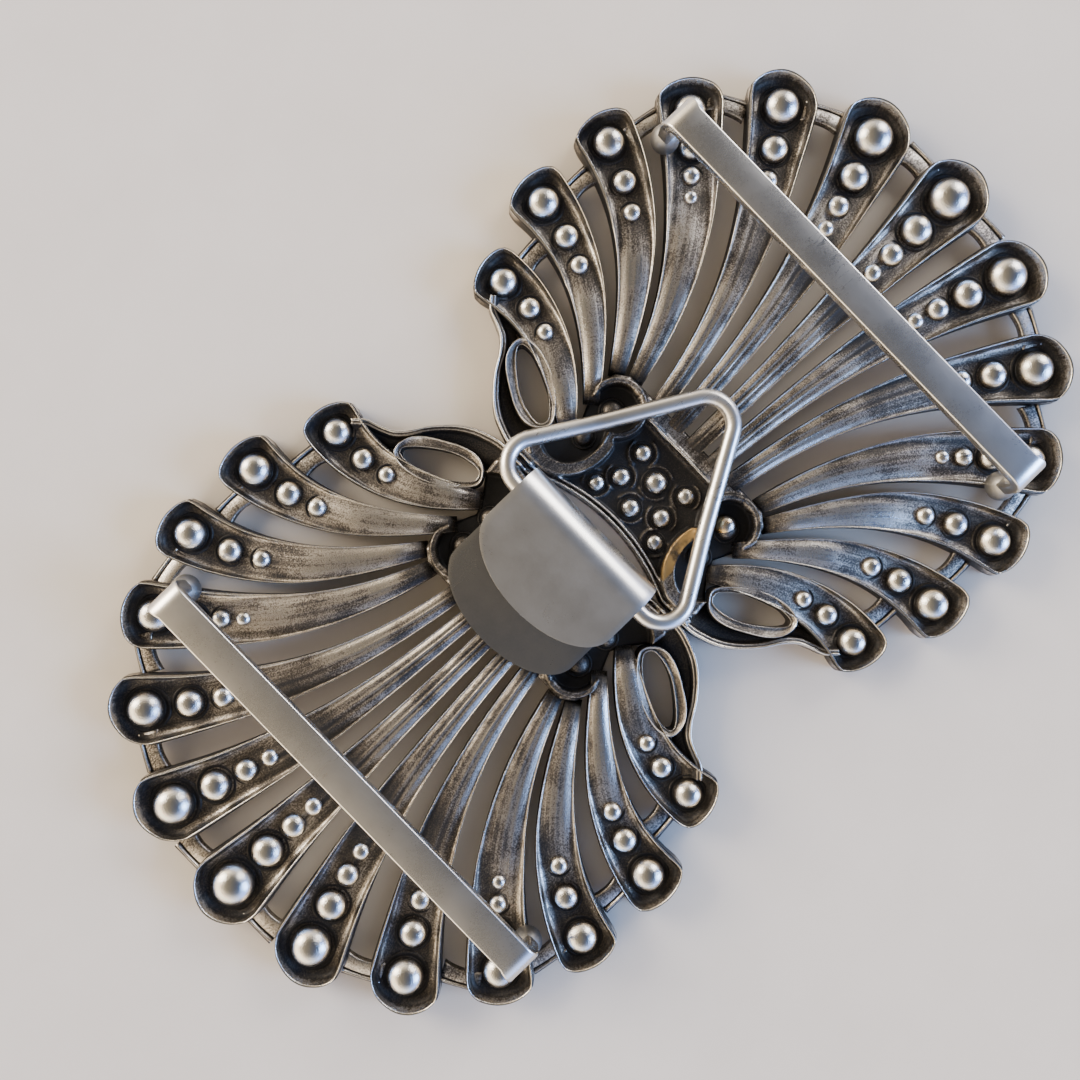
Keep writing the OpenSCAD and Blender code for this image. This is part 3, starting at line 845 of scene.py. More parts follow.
def petal_values(number, side, casting, bead, material):
    """The petal tree's inputs for one petal, on one side of the plate's middle line."""
    petal = PETALS[number]
    root = Vector((petal.root_x, petal.root_y * side, 0))
    tip = Vector((petal.tip_x, petal.tip_y * side, 0))
    handle = HANDLE_SHARE * (tip - root).length
    corners = (petal.outer, petal.inner) if side > 0 else (petal.inner, petal.outer)
    first_bead = petal.bead_r + BEAD_WALL - 0.75 * petal.bulge
    return {
        "Root": root * MM, "Root Handle": (root + direction(petal.root_turn * side) * handle) * MM,
        "Tip Handle": (tip - direction(petal.tip_turn * side) * handle) * MM, "Tip": tip * MM,
        "Root Half Width": petal.root_half * MM, "Tip Half Width": petal.tip_half * MM,
        "Flare": float(petal.flare), "Bulge": petal.bulge * MM,
        "Left Corner": float(corners[0]), "Right Corner": float(corners[1]),
        "Root Rim": casting.root_rim, "Tip Rim": casting.tip_rim,
        "Root Floor": casting.root_floor, "Tip Floor": casting.tip_floor, "Edge": casting.edge,
        "Pocket": POCKET * MM, "Crease": CREASES[number], "Shade": float(side) if number else MIDDLE_PAINTED_SHADE,
        "Smoke": PATINA_AND_BAR_SHADE[number], "Tilt": -petal.tilt * side * MM,
        "Beads": petal.beads, "Largest Bead": petal.bead_r * MM, "Bead Ratio": casting.bead_ratio,
        "Bead Pitch": petal.pitch, "First Bead": first_bead * MM,
        "Bead": bead, "Material": material}


def copies_tree():
    """Sets a copy of a pattern on each point, turned and sized by the point's attributes."""
    inputs = {"Pattern": "NodeSocketObject", "Material": "NodeSocketMaterial"}
    tree, given, output = new_geometry_tree("Copies", inputs)
    pattern = add_node(tree, "GeometryNodeObjectInfo", {"Object": given["Pattern"]}).outputs["Geometry"]
    turn, *sizes = (
        add_node(tree, "GeometryNodeInputNamedAttribute", {"Name": name}, data_type="FLOAT").outputs[0]
        for name in ("turn", "size_x", "size_y", "size_z"))
    upright = vector_of(tree, 0.0, 0.0, turn)
    rotation = add_node(tree, "FunctionNodeEulerToRotation", {"Euler": upright}).outputs[0]
    copies = add_node(tree, "GeometryNodeInstanceOnPoints", {
        "Points": given["Geometry"], "Instance": pattern,
        "Rotation": rotation, "Scale": vector_of(tree, *sizes)})
    finish_tree(tree, output, copies.outputs[0], given["Material"])
    return tree


def copies(name, tree, pattern, rows, material):
    """Copies of a pattern. rows hold a place and a turn in radians and three sizes."""
    base = mesh_object(name, [row[0] for row in rows], [], {
        "turn": [row[1] for row in rows], "size_x": [row[2][0] for row in rows],
        "size_y": [row[2][1] for row in rows], "size_z": [row[2][2] for row in rows]})
    return grown(name, base, tree, {"Pattern": pattern, "Material": material})


def bead_pattern(name, shine):
    """A round bead of radius 1 in a dark ring with a thin raised edge."""
    dome = [(sin(a), 0.12 + 0.86 * cos(a), shine * min(1, 1.85 - a))
            for a in (radians(d) for d in (0, 12, 24, 36, 48, 60, 71, 81, 90))]
    ring = [(1.00, -0.02, 0.15), (1.03, -0.07, 0.0), (1.14, -0.04, 0.0), (1.22, 0.02, 0.03),
            (1.30, 0.00, 0.10), (1.36, -0.06, 0.10), (1.40, -0.30, 0.1)]
    return turned(name, dome + ring, 24, scale=1.0)


def smooth_line(points, closed, steps):
    """More points on a smooth line through the given ones, which may hold any number of values."""
    rows = np.array(points, dtype=float)
    count = len(rows)
    at = np.arange(count * steps if closed else (count - 1) * steps + 1) / steps
    index = np.minimum(at.astype(int), count - 1 if closed else count - 2)
    t = (at - index)[:, None]
    around = (index + k for k in (-1, 0, 1, 2))
    a, b, c, d = (rows[near % count if closed else np.clip(near, 0, count - 1)] for near in around)
    return b + 0.5 * t * (c - a + t * (2 * a - 5 * b + 4 * c - d + t * (3 * (b - c) + d - a)))


def swept_strip(name, pairs, section, side, closed, material, steps=6):
    """A strip between two lines. section has rows of distance in millimetres, share, height and polish,
    where a place lies that share of the way from the first line to the second plus the distance."""
    line = smooth_line([(*a, *b) for a, b in pairs], closed, steps)
    points, polish, grain = [], [], []
    run = 0.0
    for n, (ax, ay, bx, by) in enumerate(line):
        if n:
            run += hypot(ax - line[n - 1][0], ay - line[n - 1][1])
        reach = hypot(bx - ax, by - ay)
        for distance, share, height, shine in section:
            s = share + distance / reach
            points.append((ax + (bx - ax) * s, (ay + (by - ay) * s) * side, height))
            polish.append(shine)
            grain.append((s * reach * MM, run * MM, 0))
    size = len(section)
    faces = loft_faces(len(line), size, not closed)
    if closed:
        last = (len(line) - 1) * size
        faces += [(last + j, last + (j + 1) % size, (j + 1) % size, j) for j in range(size)]
    strip = mesh_object(name, points, faces, {"polish": polish}, material)
    set_grain(strip, grain)
    correct_normals(strip)
    return strip


def opening_band(side, material):
    """The outer rim of a side opening, with the dark trough inside it."""
    section = [(0.10, 0, 0.25, 0.1), (0, 0, 0.9, 0.1), (0.02, 0, 1.5, 0.3), (0.10, 0, 2.05, 0.7),
               (0.18, 0, 2.2, 1.0), (0.27, 0, 2.2, 0.9), (0.36, 0, 2.02, 0.1), (0.44, 0, 2.0, 0.3),
               (0.54, 0, 2.04, 0.7), (0.62, 0, 1.95, 0.3), (0.78, 0, 1.50, 0.05), (0.95, 0, 1.4, 0.12),
               (0, 1, 1.4, 0.14), (0, 1, 0.2, 0.3)]
    return swept_strip("band", BAND, section, side, False, material)


def opening_lip(side, material):
    """The raised lip that runs right round a side opening."""
    section = [(-0.10, 0, 0.4, 0.1), (-0.08, 0, 1.8, 0.05), (-0.02, 0, 2.40, 0.6), (0.03, 0, 2.46, 0.9),
               (0.09, 0, 2.42, 0.7), (0.18, 0, 2.30, 0.35), (0, 0.6, 2.14, 0.30), (-0.12, 1, 2.10, 0.26),
               (-0.06, 1, 2.26, 0.8), (0, 1, 2.20, 0.8), (0.03, 1, 2.0, 0.15), (0, 1, 0.3, 0.02)]
    return swept_strip("lip", LIP, section, side, True, material)


def tab_pattern():
    """A bridge of length 1 and width 1 between two petals, with a thin raised bar on one side.
    Its section has rows of place across, height and polish."""
    section = [(-0.50, -0.45, 0.3), (-0.50, 0.08, 0.45), (-0.46, 0.14, 0.6), (-0.36, 0.14, 0.45),
               (0.14, 0.12, 0.42), (0.19, 0.05, 0.1), (0.24, -0.04, 0.0), (0.30, 0.12, 0.6),
               (0.35, 0.18, 0.8), (0.40, 0.10, 0.2), (0.44, 0.0, 0.02), (0.50, -0.08, 0.1),
               (0.50, -0.45, 0.1)]
    points, polish = [], []
    steps = 12
    for i in range(steps + 1):
        u = i / steps - 0.5
        sag = 0.22 * (1 - 4 * u * u)
        for y, z, shine in section:
            points.append((u, y + sag * (0.5 - y) * 0.8, z))
            polish.append(shine)
    faces = [tuple(reversed(face)) for face in loft_faces(steps + 1, len(section))]
    return mesh_object("tab_pattern", points, faces, {"polish": polish}, scale=1.0)


def steps_between(low, high, value):
    """The smooth step of an array from low to high."""
    t = np.clip((value - low) / (high - low), 0, 1)
    return t * t * (3 - 2 * t)


def ridge(distance, width):
    return np.exp(-(distance / width) ** 2)


# The hub's concave end: its deepest place, the arc's radius and where its corners stop
END_X = 2.55
END_R = 18.0
END_CORNER = 0.95
# How far the hub reaches out and to the sides, and where the lip at the petals stands
HUB_REACH = 12.75
HUB_HALF = 10.6
LIP_X = 11.0
# The hollows on each side: the round eye and the oval bowl beside it
EYE = Disc(9.85, 6.95, 2.1)
Bowl = namedtuple("Bowl", "x y half_length half_width")
BOWL = Bowl(6.0, 8.25, 3.2, 2.6)
# The hub's outline on one side, as places along it and half widths
HUB_TOP = [(0.0, 10.8), (0.9, 10.6), (3.9, 10.2), (5.4, 9.0), (6.8, 8.3), (8.6, 9.1), (10.3, 9.7),
           (11.9, 9.2), (12.8, 8.0)]
# Heights of the field, of the hollows and of the bands round them
HUB_FLOOR = 1.2
HOLLOW_FLOOR = 1.05
RIM_BAND = 2.62
# The two rims of the concave end: place, height and width, and the polish of a crest and its width
END_RIMS = [(0.20, 1.10, 0.17, 0.95, 0.14), (0.66, 0.95, 0.15, 0.85, 0.12)]


def hub_end(y):
    """Where the hub's concave end lies."""
    return np.maximum(END_CORNER, END_X - y ** 2 / (2 * END_R))


def hub_relief(x, y):
    """Height, polish and wear of the hub's back: its field with ringed beads, the two rims of its
    concave end, its eyes and bowls with their rims, and the lip at the petals."""
    side = np.abs(y)
    from_end = x - hub_end(y)
    from_eye = np.hypot(x - EYE.x, side - EYE.y) - EYE.radius
    in_bowl = np.hypot((x - BOWL.x) / BOWL.half_length, (side - BOWL.y) / BOWL.half_width)
    from_bowl = (in_bowl - 1) * BOWL.half_width
    hollow = np.minimum(from_eye, from_bowl)
    band_width = 0.45 + 0.50 * steps_between(-0.3, 0.3, from_eye - from_bowl)
    outside = steps_between(-0.10, 0.08, hollow)
    in_band = outside * (1 - steps_between(band_width, band_width + 0.22, hollow))
    shoulder = np.maximum(steps_between(LIP_X - 0.05, LIP_X + 0.15, x), steps_between(8.0, 8.8, side))
    shoulder = shoulder * steps_between(0.1, 0.5, hollow)

    z = HUB_FLOOR + 0.72 * shoulder
    polish = 0.03 + 0.30 * shoulder
    for at, height, width, shine, shine_width in END_RIMS:
        z += height * ridge(from_end - at, width)
        polish += shine * ridge(from_end - at, shine_width)
    lip = ridge(x - LIP_X - 0.12, 0.20) * (1 - steps_between(4.2, 4.8, side))
    z += 0.45 * lip
    polish += 0.6 * lip
    band_edges = np.maximum(ridge(hollow - 0.06, 0.09), ridge(hollow - band_width, 0.09))
    z = z + (RIM_BAND + 0.1 * band_edges - z) * in_band
    polish = polish + (0.24 + 0.12 * band_edges - polish) * in_band
    inside = 1 - outside
    z = z + (HOLLOW_FLOOR - z) * inside
    polish = polish * (1 - inside)
    for bead in HUB_BEADS:
        away = np.hypot(x - bead.x, y - bead.y)
        angle = np.arctan2(y - bead.y, x - bead.x)
        gate = steps_between(-0.5, 0.1, np.cos(angle * 2 + bead.x * 2.3))
        line = ridge(away - bead.radius - 0.45, 0.085) * gate * (1 - shoulder) * (1 - in_band) * (1 - inside)
        z += 0.26 * line
        polish += 0.24 * line
    worn_side = steps_between(4.2, 4.6, -y) * (1 - steps_between(6.0, 6.8, -y))
    worn = worn_side * (1 - steps_between(7.6, 8.4, x)) * in_band
    return z, polish.clip(0, 1), worn


def hub_mesh(material):
    """The hub as a closed block with its relief on the back."""
    across, along = 180, 96
    v, u = np.meshgrid(np.linspace(-1, 1, across + 1), np.linspace(0, 1, along + 1), indexing="ij")
    end = hub_end(v * HUB_HALF)
    x = end + u * (HUB_REACH - end)
    top_x, top_y = zip(*HUB_TOP)
    y = v * np.interp(x, top_x, top_y)
    z, polish, worn = hub_relief(x, y)
    from_edge = np.minimum(np.minimum(u * along, (1 - u) * along), np.minimum((1 + v), (1 - v)) * across / 2)
    z -= 0.25 * (1 - steps_between(0, 2, from_edge))

    points = np.stack([x, y, z], axis=-1).reshape(-1, 3).tolist()
    faces = grid_faces(across, along)
    stride = along + 1
    loop = [i * stride for i in range(across)] + [across * stride + j for j in range(along)]
    loop += [i * stride + along for i in range(across, 0, -1)] + [j for j in range(along, 0, -1)]
    low = len(points)
    count = len(loop)
    points += [[points[n][0], points[n][1], 0.1] for n in loop]
    faces += [(loop[k], loop[(k + 1) % count], low + (k + 1) % count, low + k) for k in range(count)]
    faces.append(tuple(low + k for k in range(count)))
    faces = [tuple(reversed(face)) for face in faces]
    hub = mesh_object("hub", points, faces, {
        "polish": polish.ravel().tolist() + [0.4] * count,
        "worn": worn.ravel().tolist() + [0] * count}, material)
    set_grain(hub, [(p[1] * MM, p[0] * MM, 0) for p in points])
    return hub


def plate_places(casting):
    """Matrices of the hook-side plate and the loop-side plate in the clasp."""
    turned_round = Matrix.Rotation(pi, 4, "Z")
    hook_side = Matrix.Translation((casting.overlap, casting.shift, 0)) @ turned_round
    loop_side = Matrix.Translation((-casting.overlap, -casting.shift, 0))
    return hook_side, loop_side


def post(disc, material):
    """A cast post with a flat head over the hook's lower leaf."""
    low = HOOK[0].z / MM + SHEET + PIECE_GAP
    profile = [(0, low + 0.30, 0.7), (0.75, low + 0.30, 0.7), (0.93, low + 0.25, 0.9),
               (disc.radius, low + 0.15, 0.7), (disc.radius, low, 0.3), (0.6, low, 0.2), (0.6, 1.1, 0.1)]
    piece = turned("post", profile, 24, material)
    piece.data.transform(Matrix.Translation((disc.x * MM, disc.y * MM, 0)))
    return piece


def worn_dome(disc, material):
    """A round dome in an eye, where the silver tone has gone."""
    profile = [(sin(a) * disc.radius, HUB_FLOOR + cos(a) * disc.radius, 0.9)
               for a in (radians(15 * k) for k in range(7))]
    dome = turned("worn_dome", profile, 24, material, worn=1.0)
    dome.data.transform(Matrix.Translation((disc.x * MM, disc.y * MM, 0.1 * MM)))
    return dome


def plate_with(name, pattern, extras, place):
    """A copy of the casting and the parts that only one plate has, in its place in the clasp."""
    plate = joined(name, [copy_at(name, pattern, Matrix.Identity(4))] + extras)
    plate.data.transform(place)
    return plate


def finish_piece(piece, node):
    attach(piece, "root")
    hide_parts(node)


def openings(material):
    return [strip(side, material) for side in (1, -1) for strip in (opening_band, opening_lip)]


def petals(casting, bead, material):
    """All petals of a plate. The one on the middle line has no mirror image."""
    tree = petal_tree()
    parts = []
    for number in range(len(PETALS)):
        for side in ((1, -1) if number else (1,)):
            base = mesh_object("petal", [(0, 0, 0)], [])
            parts.append(grown("petal", base, tree, petal_values(number, side, casting, bead, material)))
    return parts


def tabs(side, casting, copier, tab, material):
    """The tabs on one side of the middle line."""
    z = casting.tip_floor / MM - 0.1
    rows = [((t.x, t.y * side, z), radians(t.turn) * side, (t.length * MM, t.width * MM * -side, 1.2 * MM))
            for t in TABS]
    row = copies("tabs", copier, tab, rows, material)
    # The pattern is mirrored on this side, which turns its faces round
    if side > 0:
        row.data.flip_normals()
    return row


def casting_pattern(casting, material):
    """One fan casting in a plate's own frame."""
    bead = bead_pattern("bead_pattern", 1.0)
    dull_bead = bead_pattern("dull_bead_pattern", 0.22)
    tab = tab_pattern()
    parts = [hub_mesh(material)] + petals(casting, bead, material) + openings(material)
    copier = copies_tree()
    rows = [((b.x, b.y, HUB_FLOOR + 0.02), 0, [b.radius * MM] * 3) for b in HUB_BEADS]
    parts.append(copies("hub_beads", copier, bead, rows, material))
    rows = [((b.x, b.y * s, HUB_FLOOR + 0.05), 0, [b.radius * MM] * 3) for b in EYE_BEADS for s in (1, -1)]
    parts.append(copies("eye_beads", copier, dull_bead, rows, material))
    parts += [tabs(side, casting, copier, tab, material) for side in (1, -1)]
    for unused in (bead, dull_bead, tab):
        bpy.data.objects.remove(unused)
    return joined("casting", parts)


class CLASP_OT_castings(bpy.types.Operator):
    """Makes the two fan castings"""
    bl_idname = "clasp.castings"
    bl_label = "Fan castings"

    def execute(self, context):
        casting = context.scene.clasp_casting
        material = cast_silver(tuple(casting.silver), tuple(casting.tarnish))
        pattern = casting_pattern(casting, material)
        hook_place, loop_place = plate_places(casting)
        posts = [post(disc, material) for disc in POSTS]
        hook_side = plate_with("hook_side_casting", pattern, posts, hook_place)
        loop_side = plate_with("loop_side_casting", pattern, [worn_dome(WORN_DOME, material)], loop_place)
        finish_piece(hook_side, "hook_side_plate")
        finish_piece(loop_side, "loop_side_plate")
        bpy.data.objects.remove(pattern)
        return {"FINISHED"}


# The strap bars

# Half a bar's length over its legs, and its middle line's distance from its lowest X
BAR_HALF = 20.9
BAR_MIDDLE = 1.95
# Where a leg meets its foot, and how far it goes into it
FOOT_TOP = 4.2
LEG_IN_FOOT = 1.0
# A foot's distance from the strip's middle line, towards the middle of the clasp, and from the leg's
# outer face
FOOT_BACK = 0.35
FOOT_IN = 0.3
# Heights above the foot's top between which a leg narrows to its neck
NECK_RANGE = (0.9, -0.6)
# The strip's rounding, how far it bulges in a bend, and how much narrower each side is at the neck
STRIP_ROUND = 0.16
BEND_BULGE = 0.35
NECK_DEPTH = 0.45


def round_rectangle(left, right, low, high, radius, steps=3):
    """Points round a rectangle with rounded corners."""
    corners = [(right - radius, high - radius, 0), (left + radius, high - radius, 90),
               (left + radius, low + radius, 180), (right - radius, low + radius, 270)]
    points = []
    for x, y, start in corners:
        for k in range(steps + 1):
            a = radians(start + 90 * k / steps)
            points.append((x + radius * cos(a), y + radius * sin(a)))
    return points


def bar_half_path(top, bend, thickness):
    """Middle line of half a bar in Y and Z, with its direction, and how far its bend has gone."""
    middle = bend - thickness / 2
    y_end = BAR_HALF - thickness / 2
    rows = [(0.0, top - thickness / 2, 0.0, 0.0)]
    for k in range(1, 9):
        rows.append(((y_end - middle) * k / 8, top - thickness / 2, 0.0, 0.0))
    for k in range(1, 11):
        a = radians(9 * k)
        rows.append((y_end - middle + middle * sin(a), top - bend + middle * cos(a), a, sin(a)))
    leg_end = FOOT_TOP - LEG_IN_FOOT
    for k in range(1, 7):
        rows.append((y_end, top - bend + (leg_end - top + bend) * k / 6, pi / 2, 1.0))
    return rows


def bar_strip(top, bend, thickness, half, material):
    """The strip of a bar with its two legs. It bulges in the bends, on the side away from the middle of
    the clasp, and narrows to a neck where a leg enters its foot."""
    rows = bar_half_path(top, bend, thickness)
    rows = [(-y, z, -a, s) for y, z, a, s in reversed(rows[1:])] + rows
    points = []
    for y, z, a, bent in rows:
        neck = steps_between(FOOT_TOP + NECK_RANGE[0], FOOT_TOP + NECK_RANGE[1], z) if bent else 0.0
        bulge = BEND_BULGE * sin(pi * min(1, abs(a) / (pi / 2) * 0.72)) * (1 - neck)
        left = -half + NECK_DEPTH * neck
        right = half - NECK_DEPTH * neck + bulge
        for px, pz in round_rectangle(left, right, -thickness / 2, thickness / 2, STRIP_ROUND):
            points.append((px, y + pz * sin(a), z + pz * cos(a)))
    faces = loft_faces(len(rows), len(points) // len(rows))
    return mesh_object("strip", points, faces, material=material)


def bar_foot(side, radius, material):
    """The round blackened foot that one leg stands in, also darkened with painted shade under the bar's end.
    """
    profile = [(0, 4.5, 1), (0.35, 4.45, 1), (0.7, 4.25, 1), (0.95, 3.95, 1), (1.12, 3.6, 1),
               (radius, 3.1, 1), (radius, 2.7, 1), (1.2, 2.52, 1), (1.08, 2.45, 1)]
    foot = turned("foot", profile, 32, material)
    foot.data.transform(Matrix.Translation((-FOOT_BACK * MM, side * (BAR_HALF - FOOT_IN) * MM, 0)))
    return foot


class CLASP_OT_bars(bpy.types.Operator):
    """Makes the two strap bars"""
    bl_idname = "clasp.bars"
    bl_label = "Strap bars"

    def execute(self, context):
        bars = context.scene.clasp_bars
        satin = tuple(bars.satin)
        material = satin_plate("satin_strip", satin, 0.26)
        # The feet are blackened and darkened further with painted shade under the bar's ends
        blackened = satin_plate("blackened_foot", mixed(satin, BLACK, 0.82), 0.42)
        strip = bar_strip(bars.top / MM, bars.bend / MM, bars.thickness / MM, bars.width / MM / 2, material)
        feet = [bar_foot(side, bars.foot / MM, blackened) for side in (1, -1)]
        pattern = joined("bar", [strip] + feet)
        correct_normals(pattern)
        bar_x = LOOP_BAR[0].x + BAR_MIDDLE * MM + context.scene.clasp_casting.overlap
        hook_side, loop_side = plate_places(context.scene.clasp_casting)
        for name, place in (("hook_side_bar", hook_side), ("loop_side_bar", loop_side)):
            piece = copy_at(name + "_strip", pattern, place @ Matrix.Translation((bar_x, 0, 0)))
            finish_piece(piece, name)
        bpy.data.objects.remove(pattern)
        return {"FINISHED"}


# The hook

# How much the lower leaf is darkened with oxide and with painted shade under the upper leaf, and over how
# many rows that fades out before the fold
LEAF_OXIDE_AND_SHADE = 0.9
LEAF_SHADE_FADE = 4


def hook_rows(hook):
    """Rows along the sheet's outer face, from the lower leaf's tip round the fold to the upper leaf's
    tip, and the number of those before the fold. A row has X, Z, the way the face looks in degrees and
    half width."""
    low = HOOK[0].z / MM
    high = HOOK[1].z / MM
    fold_x = HOOK[1].x / MM
    outer = (high - low) / 2
    half = (HOOK[1].y - HOOK[0].y) / MM / 2
    oval = hook.oval / MM
    centre_x = fold_x - outer
    rows = []
    tip = fold_x - hook.lower_leaf / MM
    for k in range(17):
        a = radians(90 * k / 16)
        rows.append((tip + oval - oval * cos(a), low, -90, half * sin(a)))
    for k in range(1, 12):
        rows.append((tip + oval + (centre_x - tip - oval) * k / 12, low, -90, half))
    before_fold = len(rows)
    for k in range(25):
        a = -90 + 180 * k / 24
        rows.append((centre_x + outer * cos(radians(a)), low + outer + outer * sin(radians(a)), a, half))
    tip = fold_x - hook.upper_leaf / MM
    for k in range(1, 8):
        rows.append((centre_x + (tip + oval - centre_x) * k / 8, high, 90, half))
    for k in range(17):
        a = radians(90 - 90 * k / 16)
        rows.append((tip + oval - oval * cos(a), high, 90, half * sin(a)))
    return rows, before_fold


class CLASP_OT_hook(bpy.types.Operator):
    """Makes the folded hook"""
    bl_idname = "clasp.hook"
    bl_label = "Folded hook"

    def execute(self, context):
        hook = context.scene.clasp_hook
        material = satin_plate("satin_sheet", tuple(context.scene.clasp_bars.satin), 0.28)
        middle_y = (HOOK[0].y + HOOK[1].y) / MM / 2
        rows, before_fold = hook_rows(hook)
        columns = 24
        points = []
        for depth in (0, hook.thickness / MM):
            for x, z, a, width in rows:
                x_in = x - depth * cos(radians(a))
                z_in = z - depth * sin(radians(a))
                points += [(x_in, middle_y + (2 * j / columns - 1) * width, z_in) for j in range(columns + 1)]
        stride = columns + 1
        layer = len(rows) * stride
        faces = grid_faces(len(rows) - 1, columns)
        faces += [tuple(layer + n for n in reversed(face)) for face in faces]
        for i in range(len(rows) - 1):
            for j in (0, columns):
                a, b = i * stride + j, (i + 1) * stride + j
                faces.append((a, b, b + layer, a + layer))
        # The lower leaf is darkened with oxide and with painted shade under the upper leaf
        dulled = []
        for i in range(len(rows)):
            dulled += [LEAF_OXIDE_AND_SHADE * float(steps_between(before_fold, before_fold - LEAF_SHADE_FADE, i))] * stride
        piece = mesh_object("folded_hook_sheet", points, faces, {"dulled": dulled * 2}, material)
        correct_normals(piece)
        soften_edges(piece, 0.16 * MM)
        finish_piece(piece, "folded_hook")
        return {"FINISHED"}


# The loop

def wire_tree():
    """Sweeps a round wire along a closed path."""
    tree, given, output = new_geometry_tree("Wire", {
        "Diameter": "NodeSocketFloat", "Sides": "NodeSocketInt", "Material": "NodeSocketMaterial"})
    path = add_node(tree, "GeometryNodeMeshToCurve", {"Mesh": given["Geometry"]})
    section = add_node(tree, "GeometryNodeCurvePrimitiveCircle", {
        "Resolution": given["Sides"], "Radius": Field(given["Diameter"]) * 0.5})
    wire = add_node(tree, "GeometryNodeCurveToMesh", {
        "Curve": path.outputs[0], "Profile Curve": section.outputs[0]})
    finish_tree(tree, output, wire.outputs[0], given["Material"])
    return tree


def loop_path(height, corner, base_z, seat_z, bend_at=8.8):
    """The wire's middle line: half of it from the base bar round a corner and up a leg, and its
    mirror image."""
    slope = np.arcsin((base_z - seat_z) / bend_at)
    half_base = height * tan(radians(30))
    bend_y = (height - bend_at) * tan(radians(30))
    centre = (corner, half_base - sqrt(3) * corner)
    half = []
    for k in range(25):
        a = radians(180 - 120 * k / 24)
        x, y = centre[0] + corner * cos(a), centre[1] + corner * sin(a)
        half.append((x * cos(slope), y, base_z - x * sin(slope)))
    leg = half[-1]
    bend = (bend_at * cos(slope), bend_y, seat_z)
    ease = 0.8
    share = 1 - ease / (bend[0] - leg[0])
    half += [tuple(leg[n] + (bend[n] - leg[n]) * share * k / 10 for n in range(3)) for k in range(1, 10)]
    for k in range(7):
        s = -ease + 2 * ease * k / 6
        x = bend[0] + s * cos(radians(30))
        drop = (ease - s) ** 2 / (4 * ease) * sin(slope)
        half.append((x, bend_y - s * sin(radians(30)), seat_z + drop))
    shift = bend_at * (cos(slope) - 1)
    for k in range(17):
        a = radians(60 - 60 * k / 16)
        half.append((height - 2 * corner + corner * cos(a) + shift, corner * sin(a), seat_z))
    return half + [(x, -y, z) for x, y, z in reversed(half[:-1])]


class CLASP_OT_loop(bpy.types.Operator):
    """Makes the wire loop"""
    bl_idname = "clasp.loop"
    bl_label = "Wire loop"

    def execute(self, context):
        loop = context.scene.clasp_loop
        satin = tuple(context.scene.clasp_bars.satin)
        material = satin_plate("satin_wire", mixed(satin, WHITE, 0.08), 0.30)
        radius = loop.wire / MM / 2
        path = loop_path(loop.height / MM, loop.corner / MM, WIRE[1].z / MM - radius, WIRE[0].z / MM + radius)
        base_x = WIRE[0].x / MM + radius
        middle_y = (WIRE[0].y + WIRE[1].y) / MM / 2
        points = [(x + base_x, y + middle_y, z) for x, y, z in path]
        mesh = bpy.data.meshes.new("path")
        mesh.from_pydata([tuple(c * MM for c in p) for p in points],
                         [(k, (k + 1) % len(points)) for k in range(len(points))], [])
        piece = grown("wire_loop_wire", linked("path", mesh), wire_tree(), {
            "Diameter": loop.wire, "Sides": loop.sides, "Material": material})
        correct_normals(piece)
        finish_piece(piece, "wire_loop")
        return {"FINISHED"}


# The stage

# The lights, each with the setting that holds its power: place in metres, size and colour
LIGHTS = [
    ("window_light", (1.20, 0.10, 0.50), 0.55, (1.0, 0.95, 0.87)),
    ("warm_light", (-0.40, 1.15, 0.52), 0.60, (1.0, 0.90, 0.76)),
    ("cool_light", (0.70, -1.05, 0.50), 0.60, (0.36, 0.58, 1.0)),
]


def area_light(name, place, size, colour, power):
    """A square soft light that faces the middle of the clasp."""
    data = bpy.data.lights.new(name, "AREA")
    data.shape = "SQUARE"
    data.size = size
    data.energy = power
    data.color = colour
    light = linked(name, data)
    light.location = place
    light.rotation_euler = (-Vector(place)).to_track_quat("-Z", "Y").to_euler()


def soft_world(strength):
    """Plain light from low all round and hardly any from overhead. It is warm on one side, blue on the
    other, and weaker beyond the loop side."""
    world = bpy.data.worlds.new("soft_room")
    bpy.context.scene.world = world
    world.use_nodes = True
    tree = world.node_tree
    x, y, z = axes(tree, tree.nodes.new("ShaderNodeTexCoord").outputs["Generated"])
    warm_side = y * 0.8 - x * 0.6
    colour = colour_ramp(tree, warm_side * 0.5 + 0.5, [
        (0.10, (0.24, 0.40, 0.95)), (0.34, (0.33, 0.36, 0.43)),
        (0.52, (0.55, 0.49, 0.41)), (0.85, (1.0, 0.80, 0.54))])
    feed(tree.nodes["Background"].inputs["Color"], colour)
    by_height = profile_curve(tree, z, [
        (0, 0.9), (0.2, 1.0), (0.36, 0.95), (0.52, 0.45), (0.66, 0.15), (0.8, 0.09), (1, 0.10)])
    feed(tree.nodes["Background"].inputs["Strength"], by_height * (1 - x * 0.5) * strength)


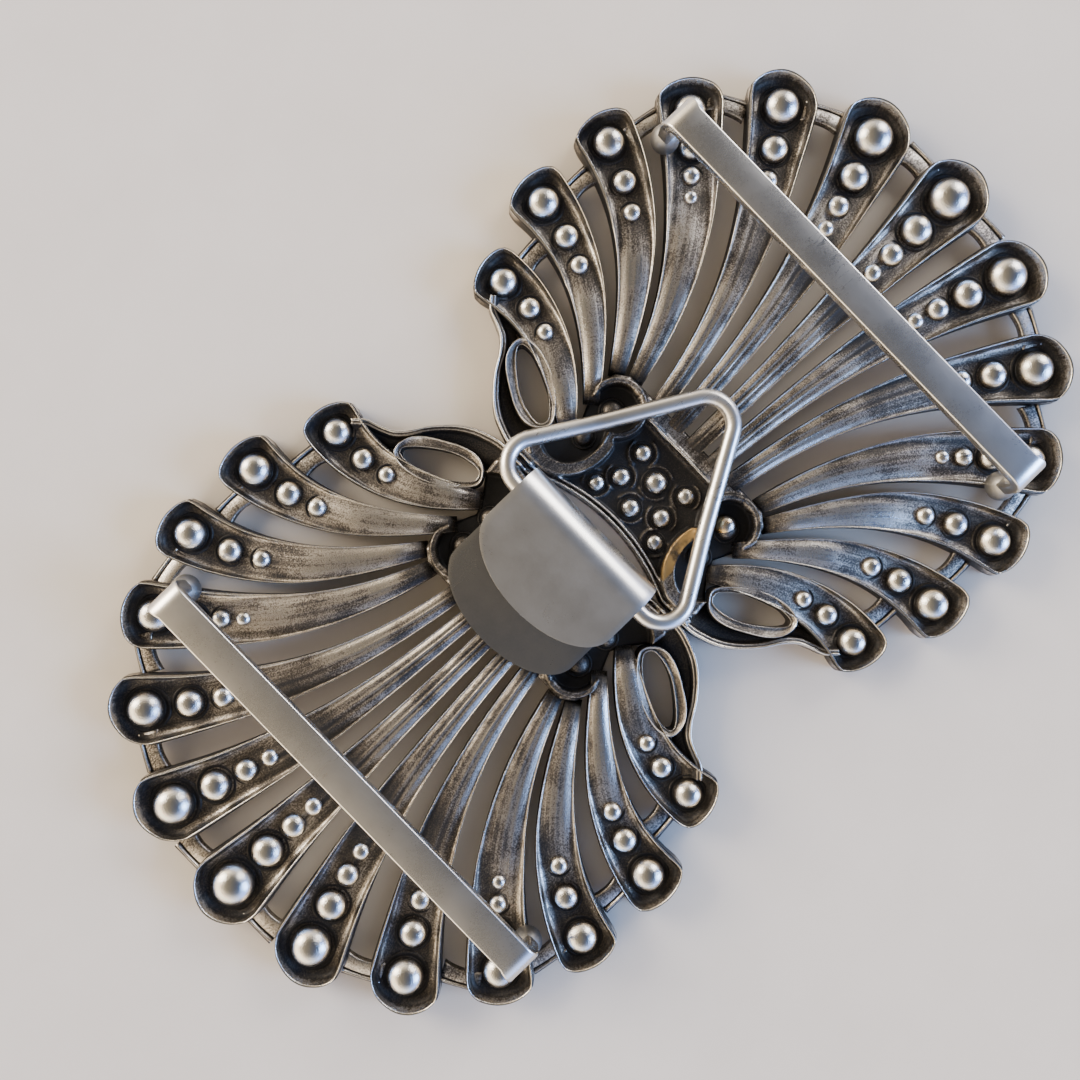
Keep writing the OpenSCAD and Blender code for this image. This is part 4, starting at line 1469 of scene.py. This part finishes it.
class CLASP_OT_stage(bpy.types.Operator):
    """Makes the floor, the lights and the camera"""
    bl_idname = "clasp.stage"
    bl_label = "Stage"

    def execute(self, context):
        stage = context.scene.clasp_stage
        reach = 0.6
        corners = [(-reach, -reach), (reach, -reach), (reach, reach), (-reach, reach)]
        floor = mesh_object("floor", [(x, y, 0) for x, y in corners], [(0, 1, 2, 3)],
                            material=pale_floor(tuple(stage.floor)), scale=1.0)
        for name, place, size, colour in LIGHTS:
            area_light(name, place, size, colour, getattr(stage, name))
        soft_world(stage.room_light)
        camera = bpy.data.cameras.new("camera")
        camera.lens = stage.lens
        camera.sensor_width = 36
        camera.clip_start = 0.005
        holder = linked("camera", camera)
        back = (CAMERA_PLACE - CAMERA_TARGET).normalized()
        level = direction(CAMERA_TURN)
        right = (level - back * level.dot(back)).normalized()
        turn = Matrix((right, back.cross(right), back)).transposed().to_4x4()
        holder.matrix_world = Matrix.Translation(CAMERA_PLACE * MM) @ turn
        context.scene.camera = holder
        return {"FINISHED"}


class CLASP_PT_panel(bpy.types.Panel):
    """Sizes, colours and steps of the clasp"""
    bl_label = "Apron Clasp"
    bl_space_type = "VIEW_3D"
    bl_region_type = "UI"
    bl_category = "Clasp"

    def draw(self, context):
        layout = self.layout
        for label, name, operator in STEPS:
            box = layout.box()
            box.label(text=label)
            group = getattr(context.scene, name)
            for key in group.__annotations__:
                box.prop(group, key)
            box.operator(operator)


STEPS = [
    ("Castings", "clasp_casting", "clasp.castings"),
    ("Strap bars", "clasp_bars", "clasp.bars"),
    ("Hook", "clasp_hook", "clasp.hook"),
    ("Loop", "clasp_loop", "clasp.loop"),
    ("Stage", "clasp_stage", "clasp.stage"),
]
GROUPS = {
    "clasp_casting": ClaspCasting, "clasp_bars": ClaspBars, "clasp_hook": ClaspHook,
    "clasp_loop": ClaspLoop, "clasp_stage": ClaspStage,
}
CLASSES = [*GROUPS.values(), CLASP_OT_castings, CLASP_OT_bars, CLASP_OT_hook, CLASP_OT_loop, CLASP_OT_stage,
           CLASP_PT_panel]


def register():
    for cls in CLASSES:
        bpy.utils.register_class(cls)
    for name, group in GROUPS.items():
        setattr(bpy.types.Scene, name, PointerProperty(type=group))


def unregister():
    for name in GROUPS:
        delattr(bpy.types.Scene, name)
    for cls in reversed(CLASSES):
        bpy.utils.unregister_class(cls)


def main():
    register()
    bpy.ops.clasp.castings()
    bpy.ops.clasp.bars()
    bpy.ops.clasp.hook()
    bpy.ops.clasp.loop()
    bpy.ops.clasp.stage()


if __name__ == "__main__":
    main()
